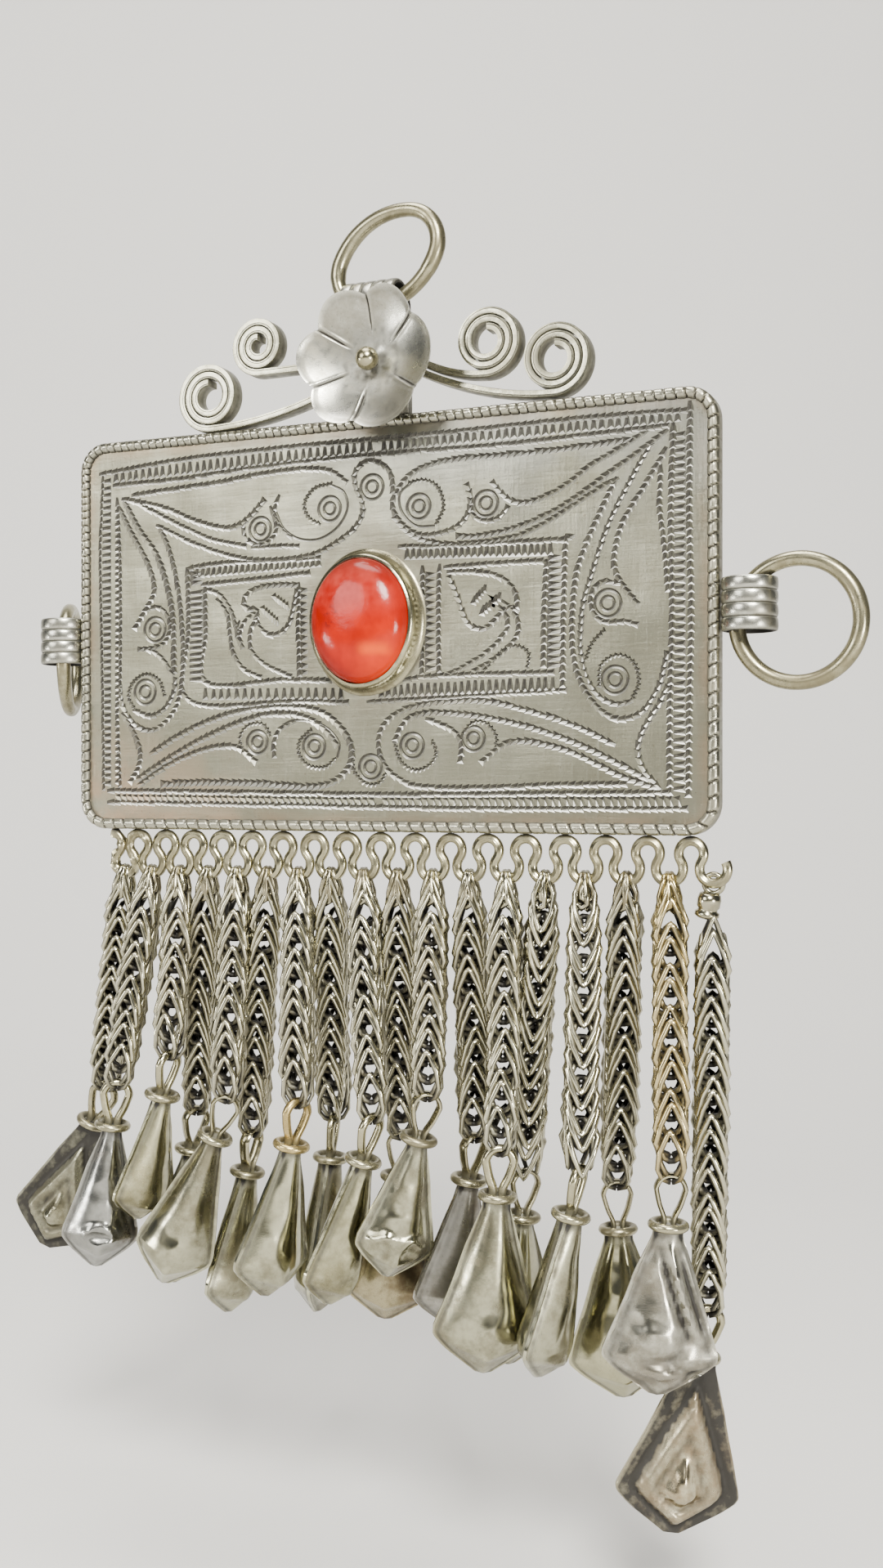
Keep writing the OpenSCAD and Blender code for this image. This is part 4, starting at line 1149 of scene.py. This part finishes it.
class PENDANT_OT_rings(bpy.types.Operator):
    """Bent top ring and the two round side rings"""
    bl_idname = "pendant.rings"
    bl_label = "Rings"

    def execute(self, context):
        a, b, side_r, tilt = 6.6, 4.8, 3.9, math.radians(30)
        off = a - side_r
        long_r = (off * off + b * b - side_r * side_r) / (2 * (b - side_r))
        half = math.degrees(math.atan2(off, long_r - b))
        dense = (arc(off, 0, side_r, half - 90, 90 - half, 0) + arc(0, b - long_r, long_r, 90 - half, 90 + half, 0)
                 + arc(-off, 0, side_r, 90 + half, 270 - half, 0)
                 + arc(0, long_r - b, long_r, 270 - half, 270 + half, 0))
        turn = Matrix.Rotation(-tilt, 4, "Y")
        path = [turn @ p + Vector((1.4, MID_Y, 41.5)) for p in even(dense, 0.45, True)]
        self.ring("ring_top", "top_ring", path, 1.0, 0.14)
        for name, body, x, bail_z, deg in (("ring_right", "right_ring", SIDE_BAIL_X, SIDE_BAIL_Z, 0),
                                           ("ring_left", "left_ring", -SIDE_BAIL_X, -SIDE_BAIL_Z, 118)):
            z = bail_z + SIDE_BAIL_HALF - 4.65
            way = Vector((math.cos(math.radians(deg)), math.sin(math.radians(deg)), 0))
            centre = Vector((x, MID_Y, z)) + way * 5.0
            path = [centre + way * RING_R * math.cos(TAU * i / 96) + Vector((0, 0, RING_R * math.sin(TAU * i / 96)))
                    for i in range(96)]
            self.ring(name, body, path, 2.0 + deg, 0.09)
        return {"FINISHED"}

    def ring(self, name, body, path, seed, fuller):
        """A ring of wire that is a little fuller at its sides and worn thin at its top and bottom."""
        bm = bmesh.new()
        centre = sum(path, Vector()) / len(path)
        tall = max(abs(p.z - centre.z) for p in path)

        def section(i, angle):
            up = (path[i].z - centre.z) / tall
            hand = 0.012 * noise.noise(path[i] * 0.35 + Vector((seed, 0, 0)))
            below = 1 if path[i].z > centre.z - 2 or fuller < 0.1 else 0.4
            r = RING_WIRE_R * (0.985 + fuller * max(0.0, 1 - up * up) * below + hand)
            return r * math.cos(angle), r * math.sin(angle)
        wire(bm, path, 20, section, closed=True)
        mark_oxide_and_shade(bm, lambda p: 0.10 if (p - centre).length > 5 else 0.18)
        finish(bm, name, finish_of("wire"), body=body, replaces=[name])


# ---------------------------------------------------------------- fringe

def upper_x(i):
    return -31.9 + i * (3.835 + i * 0.028)


def lower_loop(i):
    """Centre of the lower loop i, half the spacing there, and the angle where it meets its neighbours."""
    half = (upper_x(i) - upper_x(i - 1)) / 2
    drop = math.sqrt((UPPER_LOOP_R + LOWER_LOOP_R) ** 2 - half ** 2)
    return (upper_x(i - 1) + upper_x(i)) / 2, TOP_LOOPS_Z - drop, math.degrees(math.atan2(drop, half))


class PENDANT_OT_hanger_wire(bpy.types.Operator):
    """One wire bent into open loops below the plate"""
    bl_idname = "pendant.hanger_wire"
    bl_label = "Hanger wire"

    def execute(self, context):
        dense = arc(upper_x(-1), TOP_LOOPS_Z, UPPER_LOOP_R, 90, -lower_loop(0)[2])
        for i in range(FRINGE):
            x, z, angle = lower_loop(i)
            last = i == FRINGE - 1
            dense += arc(x, z, LOWER_LOOP_R, 180 - angle, 390 if last else 360 + angle)[1:]
            if not last:
                dense += arc(upper_x(i), TOP_LOOPS_Z, UPPER_LOOP_R, 180 + angle, -lower_loop(i + 1)[2])[1:]
        path = even(dense, 0.3)

        def section(i, angle):
            c, s = math.cos(angle), math.sin(angle)
            r = HANGER_R * (1 - 0.04 * abs(noise.noise((i * 0.07, 0, 0))))
            if s < -0.5 and 0.2 < abs(c) < 0.7:
                r *= 0.90
            if i < 52:  # pale residue on the first loops
                r *= 1 + 0.9 * max(0.0, noise.noise((i * 0.33, c * 0.9, s * 0.9)) - 0.08)
            return r * c, r * s
        bm = bmesh.new()
        wire(bm, path, 16, section, across=Vector((0, 1, 0)))

        def depth_of(p):
            back = max(0.0, (p.y - MID_Y) * 0.5)
            darkening = 0.5 * max(0.0, noise.noise((p.x * 0.9, p.z * 0.9, 2.0)))
            near_plate = 0.7 * max(0.0, 1 - (-PLATE_H / 2 - p.z) / 0.7)
            return back + darkening + near_plate
        mark_oxide_and_shade(bm, depth_of)
        finish(bm, "hanger_wire", finish_of("wire"), replaces=["hanger_wire"])
        return {"FINISHED"}


def drop_matrix(i):
    """Where drop i stands: its collar at the middle, its eye above, its body below."""
    x, z, row, turn, lean = DROPS[i][:5]
    return (Matrix.Translation((x, MID_Y + row * ROW_DEPTH, z)) @ turned(lean, "Y") @ turned(turn, "Z"))


class PENDANT_OT_chains(bpy.types.Operator):
    """Eighteen plaited loop-in-loop chains"""
    bl_idname = "pendant.chains"
    bl_label = "Chains"

    def link(self, half, tall, spread):
        """The centre line of a link: a ring folded at its middle, with a pointed lobe in front and one behind."""
        leg = [(0.15, 0.16, 0.0), (0.80, 0.52, 0.07), (1.0, 0.82, 0.25), (0.70, 0.95, 0.60), (0.19, 1.0, 0.94)]
        path = []
        for way in (-1, 1):
            path += [Vector((-way * spread * x * half, way * y * half, z * tall)) for x, y, z in leg]
            path.append(Vector((0, way * half, tall)))
            path += [Vector((way * spread * x * half, way * y * half, z * tall)) for x, y, z in reversed(leg)]
        return path

    def loop(self, path, wire_r):
        """A mesh of one closed ring of wire."""
        bm = bmesh.new()
        wire(bm, path, LINK_SIDES, round_section(wire_r), closed=True)
        bmesh.ops.recalc_face_normals(bm, faces=bm.faces)
        return as_mesh(bm, "link")

    def execute(self, context):
        sizes = settings()[0]
        pitch, width, wire_r = sizes.chain_pitch * 1000, sizes.chain_width * 1000, sizes.chain_wire * 1000
        height = pitch * 1.28
        half = width / 2 - wire_r
        front = self.loop(self.link(half, height, 1.0), wire_r)
        side = self.loop(self.link(half * 0.93, height, 0.62), wire_r)
        for i in range(FRINGE):
            x, z, _ = lower_loop(i)
            top = Vector((x, MID_Y, z - LOWER_LOOP_R + HANGER_R + wire_r + 0.03))
            eye = drop_matrix(i) @ Vector((0, 0, EYE_LEG + EYE_R - EYE_WIRE_R - wire_r - 0.02))
            run = eye - top
            axis = -run.normalized()
            last = i == FRINGE - 1
            begin = 4.4 if last else 1.0
            total = run.length - begin
            rounds = max(1, round((total - height) / pitch))
            places = [(k + lag + (0.5 if way else 0.0), way) for k in range(rounds + 1) for way in (0, 1)
                      for lag in (0.0, 0.36)]
            places = [(at / rounds, way) for at, way in places if at <= rounds]
            bm = bmesh.new()
            layer = bm.verts.layers.float.new("hollow")
            right = Vector((0, 1, 0)).cross(axis).normalized()
            back = axis.cross(right).normalized()
            base = Matrix((right, back, axis)).transposed().to_4x4()
            hanging = i + 1 in HANGING_LOBES
            for k, (share, way) in enumerate(places):
                at = top - axis * (begin + (total - height) * share + (0 if hanging else height))
                shake = noise.noise((i * 3.3, k * 0.77, 1.0))
                turn = Matrix.Rotation(math.radians(17 + 8 * shake + 26 * noise.noise((i * 5.1, k * 0.09, 4.0)))
                                       + math.pi / 2 * way, 4, "Z")
                scale = Matrix.Diagonal((1 + 0.05 * shake, 1, (-1 if hanging else 1) * (1 + 0.05 * shake), 1))
                first = len(bm.verts)
                bm.from_mesh(side if way else front)
                bm.verts.ensure_lookup_table()
                bmesh.ops.transform(bm, matrix=Matrix.Translation(at) @ base @ turn @ scale,
                                    verts=bm.verts[first:])
            self.taper(bm, top, axis, begin, run.length)
            bmesh.ops.recalc_face_normals(bm, faces=bm.faces)
            # Painted light: the inside of the plait and the wire sides that face inwards get painted shade, the wires
            # that face outwards a painted highlight
            bright = bm.verts.layers.float.new("rubbed")
            for v in bm.verts:
                off = v.co - top
                out = off - axis * off.dot(axis)
                r = out.length / half
                facing = v.normal.dot(out.normalized())
                v[layer] = clamp(max(1.9 - 2.2 * r, 0.85 - 1.1 * smooth_step(-0.3, 0.9, facing)))
                v[bright] = smooth_step(0.45, 0.95, facing) * smooth_step(0.6, 0.9, r)
            if last:
                self.repair(bm, top, base)
            else:
                self.hook(bm, top, base, wire_r, i)
            bmesh.ops.recalc_face_normals(bm, faces=bm.faces)
            name = "chain_%02d" % (i + 1)
            finish(bm, name, finish_of("chain_brass" if i == BRASSY_CHAIN else "chain"), replaces=[name], weld=False,
                   sharp=80.0, worn=0)
        for mesh in (front, side):
            bpy.data.meshes.remove(mesh)
        return {"FINISHED"}

    def taper(self, bm, top, axis, begin, end):
        """The plait is thin where it starts and where it takes up the drop."""
        for v in bm.verts:
            off = v.co - top
            along = -off.dot(axis)
            out = off + axis * along
            share = 0.60 + 0.40 * smooth_step(begin - 0.5, begin + 5.0, along)
            share *= 0.72 + 0.28 * smooth_step(0.0, 4.0, end + 0.6 - along)
            v.co = top - axis * along + out * share

    def hook(self, bm, top, base, wire_r, number):
        """The first links of a chain, folded over the hanger wire."""
        for which, (deg, tall) in enumerate(((34, 3.1), (-8, 3.9))):
            shake = noise.noise((number * 2.3, which * 4.0, 0))
            turn = turned(deg + 22 * shake, "Z")
            lift = 0.35 * which
            leg = [(0.20, 0.0, 0.03), (0.24, 0.55, -0.30), (0.30, 0.80, -1.1), (0.62, 0.95, -0.62 * tall),
                   (0.66, 0.9, -0.88 * tall)]
            front = [Vector((x, -y, z)) for x, y, z in leg]
            behind = [Vector((x, y, z)) for x, y, z in leg[1:]]
            half_ring = behind[::-1] + front
            other = [Vector((-p.x, p.y, p.z)) for p in half_ring[::-1]]
            low = Vector((0, -0.8, -tall))
            points = half_ring + [low] + other + [Vector((0, 0.8, -tall))]
            points = [top + base @ (turn @ Vector((p.x, p.y * (1 + lift * 0.3), p.z))) for p in points]
            wire(bm, points, 6, round_section(wire_r), closed=True)

    def repair(self, bm, top, base):
        """The last chain hangs by a plain ring and a bead wrapped with wire."""
        ring = [top + base @ Vector((1.0 * math.cos(TAU * k / 24), 0.1, -0.95 + 1.0 * math.sin(TAU * k / 24)))
                for k in range(24)]
        wire(bm, ring, 8, round_section(0.3), closed=True)
        profile = [(0.0, 0.0), (0.8, 0.0), (1.12, 0.18), (1.25, 0.7), (1.22, 1.5), (1.02, 1.75), (1.05, 1.95),
                   (1.3, 2.1), (1.3, 2.5), (0.9, 2.75), (0.0, 2.75)]
        turns, lean = 28, turned(9, "Y")

        def place(row, col):
            r, down = profile[col]
            a = TAU * (row % turns) / turns
            return top + base @ (lean @ Vector((r * math.cos(a), r * math.sin(a), -1.9 - down)))
        skin(bm, turns, len(profile) - 1, place)


class PENDANT_OT_drops(bpy.types.Operator):
    """Eighteen stamped drops, empty inside, with collars and eyes"""
    bl_idname = "pendant.drops"
    bl_label = "Drops"

    def execute(self, context):
        seam = settings()[0].drop_seam * 1000
        for i, (*_, size, wide, crumple, eye, kind) in enumerate(DROPS):
            name = "drop_%02d" % (i + 1)
            bm = bmesh.new()
            self.body(bm, i, size, wide, crumple, seam)
            here = drop_matrix(i)
            place_back = here.inverted()
            bmesh.ops.transform(bm, matrix=here, verts=bm.verts)

            def depth_of(p):
                q = place_back @ p
                # Darker at the neck under the collar: oxide in the crevice and painted shade
                neck = 0.5 * max(0.0, 1 - abs(q.z + 0.6) / 1.2)
                mottle = 0.30 * max(0.0, noise.noise((q.x * 0.35 + i * 7, q.y * 0.35, q.z * 0.3)) - 0.1)
                across, down = q.x / (DROP_HALF_W * size * wide), -q.z / (DROP_TALL * size)
                if i == FOLDED_DROP and q.y < 0:
                    mottle += 0.9 * max(0.0, -self.relief(i, across, down, -1))
                if i in EMBOSSED and q.y < 0:
                    kite = self.kite(across, down)
                    pitted = max(0.0, noise.noise((q.x * 0.9, 3.0, q.z * 0.7)) - 0.15) * (kite > 0.62)
                    mottle += 0.35 * bell(kite, 0.43, 0.07) + 0.45 * bell(kite, 0.86, 0.06)
                    # Painted shade on the face outside the boss, so that the boss reads as lit; pits get oxide
                    mottle += 0.22 * smooth_step(0.3, 0.5, kite) + 0.5 * pitted
                # A dark band beside the seam: oxide in the crevice and painted shade on the drop's edges
                beside = 0.55 * bell(abs(q.y), 0.42, 0.22) if abs(q.y) > 0.2 else 0.0
                return neck + mottle + beside
            mark_oxide_and_shade(bm, depth_of)
            finish(bm, name, finish_of(kind), replaces=[name], sharp=48.0, worn=0.12 if i in EMBOSSED else 0.3)
            bm = bmesh.new()
            self.fittings(bm, eye)
            bmesh.ops.transform(bm, matrix=here, verts=bm.verts)

            def fitting_depth(p):
                q = place_back @ p
                return 0.6 * max(0.0, 1 - abs(q.z - 0.3) / 0.9) * (1 if math.hypot(q.x, q.y) < 1.7 else 0.3)
            mark_oxide_and_shade(bm, fitting_depth)
            finish(bm, name + "_eye", finish_of("brass" if eye == "brass" else "wire"))
        return {"FINISHED"}

    def body(self, bm, number, size, wide, crumple, seam):
        """Two pressed shells joined along a flat seam: a long round-backed top and a short faceted end."""
        width, depth, tall = DROP_HALF_W * size * wide, DROP_HALF_D * size, DROP_TALL * size
        # share of the length from the collar, then width, depth and roundness there
        knots = [(0.0, 0.25, 0.46, 2.6), (0.06, 0.26, 0.47, 2.6), (0.12, 0.32, 0.52, 2.4), (0.45, 0.65, 0.80, 2.1),
                 (0.70, 0.93, 0.96, 1.9), (0.765, 1.0, 1.0, 1.75), (0.80, 0.93, 1.0, 1.6), (0.845, 0.77, 0.97, 1.35),
                 (0.875, 0.65, 0.86, 1.1), (0.93, 0.39, 0.55, 1.05), (0.985, 0.13, 0.20, 1.2)]
        rows, half = 68, 30
        cols = 2 * half + 4
        levels = []
        for r in range(rows + 1):
            t = 0.985 * (r / rows)
            for (t0, *low), (t1, *high) in zip(knots, knots[1:]):
                if t <= t1 + 1e-9:
                    k = (t - t0) / (t1 - t0)
                    levels.append((t, *[a + (b - a) * k for a, b in zip(low, high)]))
                    break
        edge = 0.17
        spots = [(math.cos(math.pi * (k + 0.5) / half), -1) for k in range(half)] + [(-1.0, -2), (-1.0, 2)]
        spots += [(-u, 1) for u, _ in spots[:half]] + [(1.0, 2), (1.0, -2)]

        def place(row, col):
            if row == 0 or row == rows + 2:
                return Vector((0, 0, 0.25 if row == 0 else -0.998 * tall))
            t, w, d, power = levels[row - 1]
            u, side = spots[col % cols]
            face = math.copysign(1, side)
            x, z = width * w * u, -tall * t
            body = min(1.0, max(0.0, (t - 0.08) * 5)) * min(1.0, (1.02 - t) * 6)
            if abs(side) == 2:
                x = u * (width * w + seam * (0.3 + 0.9 * body))
                y = edge * face
            else:
                y = face * (edge + (depth * d - edge) * (1 - abs(u) ** power))
                if number in EMBOSSED and face < 0:
                    y = -edge - (depth * 0.86 - edge) * self.embossed(x / width, t)
                elif number == FOLDED_DROP and face < 0:
                    y = -edge + (y + edge) * 0.64
            there = Vector((x * 0.20, y * 0.20 + number * 5.3, z * 0.16))
            push = noise.noise(there) * 0.6 + noise.noise(there * 2.3) * 0.3
            push -= max(0.0, noise.noise(there * 1.4 + Vector((9, 4, 2))) - 0.12) * 1.7
            if abs(side) == 1:
                y -= face * min(abs(y) - 0.1, -min(0.0, push) * min(0.45, crumple) * body * (1 - u * u) * 1.5)
                hip = 0.0 if number in EMBOSSED and face < 0 else 0.16
                y += face * hip * bell(t - 0.795, 0.075 * (1 - abs(x) / width), 0.016) * (1 - u ** 4)
                y += face * self.relief(number, x / width, t, face) * body
            y = math.copysign(min(abs(y), depth * 0.985), y)
            x += 0.12 * body * noise.noise(Vector((number * 3.0, z * 0.14, u)))
            return Vector((clamp(x, -width * 1.035, width * 1.035), y, z))
        skin(bm, rows + 2, cols, place)

    def kite(self, x, t):
        """0 at the middle of a drop's face and 1 on its outline."""
        above, below = (0.72 * abs(x) - t + 0.74) / 0.70, (0.24 * abs(x) + t - 0.74) / 0.25
        return clamp((max(0.0, above) ** 6 + max(0.0, below) ** 6) ** (1 / 6))

    def embossed(self, x, t):
        """Height of the drops nested in a drop: flat rim, raised kite, groove and tear-shaped boss."""
        kite = self.kite(x, t)
        steps = [(0.0, 1.0), (0.14, 0.92), (0.36, 0.46), (0.44, 0.42), (0.58, 0.60), (0.66, 0.56), (0.86, 0.05),
                 (1.0, 0.10)]
        for (k0, y0), (k1, y1) in zip(steps, steps[1:]):
            if kite <= k1:
                return y0 + (y1 - y0) * smooth_step(k0, k1, kite)
        return 0.0

    def relief(self, number, x, t, face):
        """How far a drop's own marks stand out, in mm: dents, bumps and folds."""
        if face > 0:
            return 0.0

        def spot(at_x, at_t, wide_x, wide_t):
            return math.exp(-((x - at_x) / wide_x) ** 2 - ((t - at_t) / wide_t) ** 2)
        if number in DENTS:
            return sum(height * spot(*where) for height, *where in DENTS[number])
        if number == 1:
            arch = math.hypot((x + 0.05) / 0.45, (t - 0.775) / 0.10)
            return (0.5 * bell(arch, 1.0, 0.2) * smooth_step(-0.02, 0.05, 0.775 - t)
                    - 0.55 * spot(-0.05, 0.745, 0.30, 0.035) + 0.4 * spot(0.28, 0.775, 0.15, 0.02))
        if number == 10:
            line = 0.72 - 0.055 * bell(abs(x), 0.34, 0.2) - 0.015 * bell(x, 0, 0.1)
            ridge = bell(t, line, 0.026) * (1 - smooth_step(0.65, 0.9, abs(x)))
            below = spot(0.32, 0.79, 0.22, 0.05) + spot(-0.32, 0.79, 0.22, 0.05)
            return 0.45 * ridge - 0.35 * below
        if number == FOLDED_DROP:
            bend = 0.04 + 0.52 * max(0.0, (t - 0.08) / 0.5) ** 1.3
            run = smooth_step(0.04, 0.14, t) * (1 - smooth_step(0.52, 0.70, t))
            folds = sum(k * bell(x - bend, at, 0.09) for k, at in
                        ((0.38, 0.0), (-0.50, -0.18), (0.25, 0.27), (-0.3, 0.14)))
            swell = math.hypot((x + 0.10) / 0.42, (t - 0.67) / 0.095)
            moat = bell(swell, 1.15, 0.38) * smooth_step(-0.25, 0.35, x + (t - 0.67) * 4)
            crease = bell(t - 0.79, 0.09 * x, 0.032) * smooth_step(0.0, 0.3, x) * (1 - smooth_step(0.6, 0.9, x))
            lumps = noise.noise((x * 2.4, t * 9.0, 5.0)) * smooth_step(0.5, 0.62, t)
            return 1.25 * folds * run + 0.55 * bell(swell, 0, 0.75) - 0.45 * moat - 0.35 * crease + 0.3 * lumps
        return 0.0

    def fittings(self, bm, eye):
        """The collar and the eye that a drop hangs by."""
        angles = [TAU * k / 32 for k in range(32)]
        ring = [Vector((COLLAR_R * math.cos(a), COLLAR_R * math.sin(a), 0)) for a in angles]
        wire(bm, ring, 12, round_section(COLLAR_WIRE_R), closed=True)
        dense = [Vector((EYE_R * 0.40, 0, -0.5)), Vector((EYE_R * 0.34, 0, 0.7)),
                 Vector((EYE_R * 0.72, 0, EYE_LEG * 0.58))]
        dense += [Vector((EYE_R * math.cos(a * math.pi / 16), 0, EYE_LEG + EYE_R * math.sin(a * math.pi / 16)))
                  for a in range(17)]
        dense += [Vector((-p.x, 0, p.z)) for p in reversed(dense[:3])]
        path = smooth_path(dense, 0.3)
        section = box_section(0.26, 0.66) if eye == "strip" else round_section(EYE_WIRE_R * 1.35)
        wire(bm, path, 10, section, across=Vector((0, 1, 0)))


# ---------------------------------------------------------------- stage

class PENDANT_OT_stage(bpy.types.Operator):
    """Plain floor and backdrop, soft lights and the camera"""
    bl_idname = "pendant.stage"
    bl_label = "Stage"

    def execute(self, context):
        colours = settings()[1]
        centre = HOME + Vector((0, 0, -0.018))
        floor_z = HOME.z - 0.112
        bm = bmesh.new()
        half, front, back, bend = 1.6, -1.2, 0.55, 0.35
        profile = [(front, floor_z)] + [(back - bend + bend * math.sin(math.pi / 2 * k / 16),
                                         floor_z + bend - bend * math.cos(math.pi / 2 * k / 16)) for k in range(17)]
        profile.append((back, floor_z + 1.8))
        turn = Matrix.Rotation(CAMERA_TURN, 4, "Z")

        def place(row, col):
            y, z = profile[row]
            p = turn @ Vector(((col - 1) * half, y, 0))
            return Vector((p.x + HOME.x, p.y + HOME.y, z))
        skin(bm, len(profile) - 1, 2, place)
        mesh = as_mesh(bm, "backdrop")
        mesh.shade_smooth()
        floor = add_object("backdrop", mesh)
        paint = Paint("plain_floor")
        grain = paint.noise(0.02, 3.0)
        mesh.materials.append(paint.shader(
            Base_Color=paint.mix(grain, tuple(colours.floor), tuple(k * 0.97 for k in colours.floor)), Roughness=0.8))

        world = bpy.data.worlds.new("studio")
        context.scene.world = world
        world.use_nodes = True
        back_light = world.node_tree.nodes["Background"]
        back_light.inputs[0].default_value = (0.72, 0.76, 0.80, 1)
        back_light.inputs[1].default_value = 0.15
        for name, spot, size, power, tint in LIGHTS:
            data = bpy.data.lights.new(name, "AREA")
            data.shape, data.size, data.energy, data.color = "DISK", size, power, tint
            light = add_object(name, data)
            light.location = centre + Vector(spot)
            light.rotation_euler = (-Vector(spot)).to_track_quat("-Z", "Y").to_euler()

        data = bpy.data.cameras.new("camera")
        data.sensor_fit, data.sensor_height = "VERTICAL", SENSOR_MM
        data.lens = SENSOR_MM * FOCAL_PX / PHOTO_PX
        data.clip_start, data.clip_end = 0.01, 20.0
        camera = add_object("camera", data)
        camera.location = HOME + Vector(CAMERA_SPOT)
        camera.rotation_euler = (math.pi / 2, 0, CAMERA_TURN)
        context.scene.camera = camera
        return {"FINISHED"}


# ---------------------------------------------------------------- add-on

STEPS = (PENDANT_OT_plate, PENDANT_OT_stone, PENDANT_OT_flower, PENDANT_OT_scrolls, PENDANT_OT_bails,
         PENDANT_OT_rings, PENDANT_OT_hanger_wire, PENDANT_OT_chains, PENDANT_OT_drops, PENDANT_OT_stage)


class PENDANT_PT_panel(bpy.types.Panel):
    """The pendant's sizes, colours and pieces"""
    bl_idname = "PENDANT_PT_panel"
    bl_label = "Pectoral pendant"
    bl_space_type = "VIEW_3D"
    bl_region_type = "UI"
    bl_category = "Pendant"

    def draw(self, context):
        for group in settings():
            box = self.layout.box()
            for name in group.__annotations__:
                box.prop(group, name)
        for step in STEPS:
            self.layout.operator(step.bl_idname)


CLASSES = (PendantSizes, PendantColours, *STEPS, PENDANT_PT_panel)


def register():
    for c in CLASSES:
        bpy.utils.register_class(c)
    bpy.types.Scene.pendant_sizes = PointerProperty(type=PendantSizes)
    bpy.types.Scene.pendant_colours = PointerProperty(type=PendantColours)


def unregister():
    del bpy.types.Scene.pendant_colours, bpy.types.Scene.pendant_sizes
    for c in reversed(CLASSES):
        bpy.utils.unregister_class(c)


def main():
    register()
    for step in STEPS:
        group, name = step.bl_idname.split(".")
        getattr(getattr(bpy.ops, group), name)()


if __name__ == "__main__":
    main()
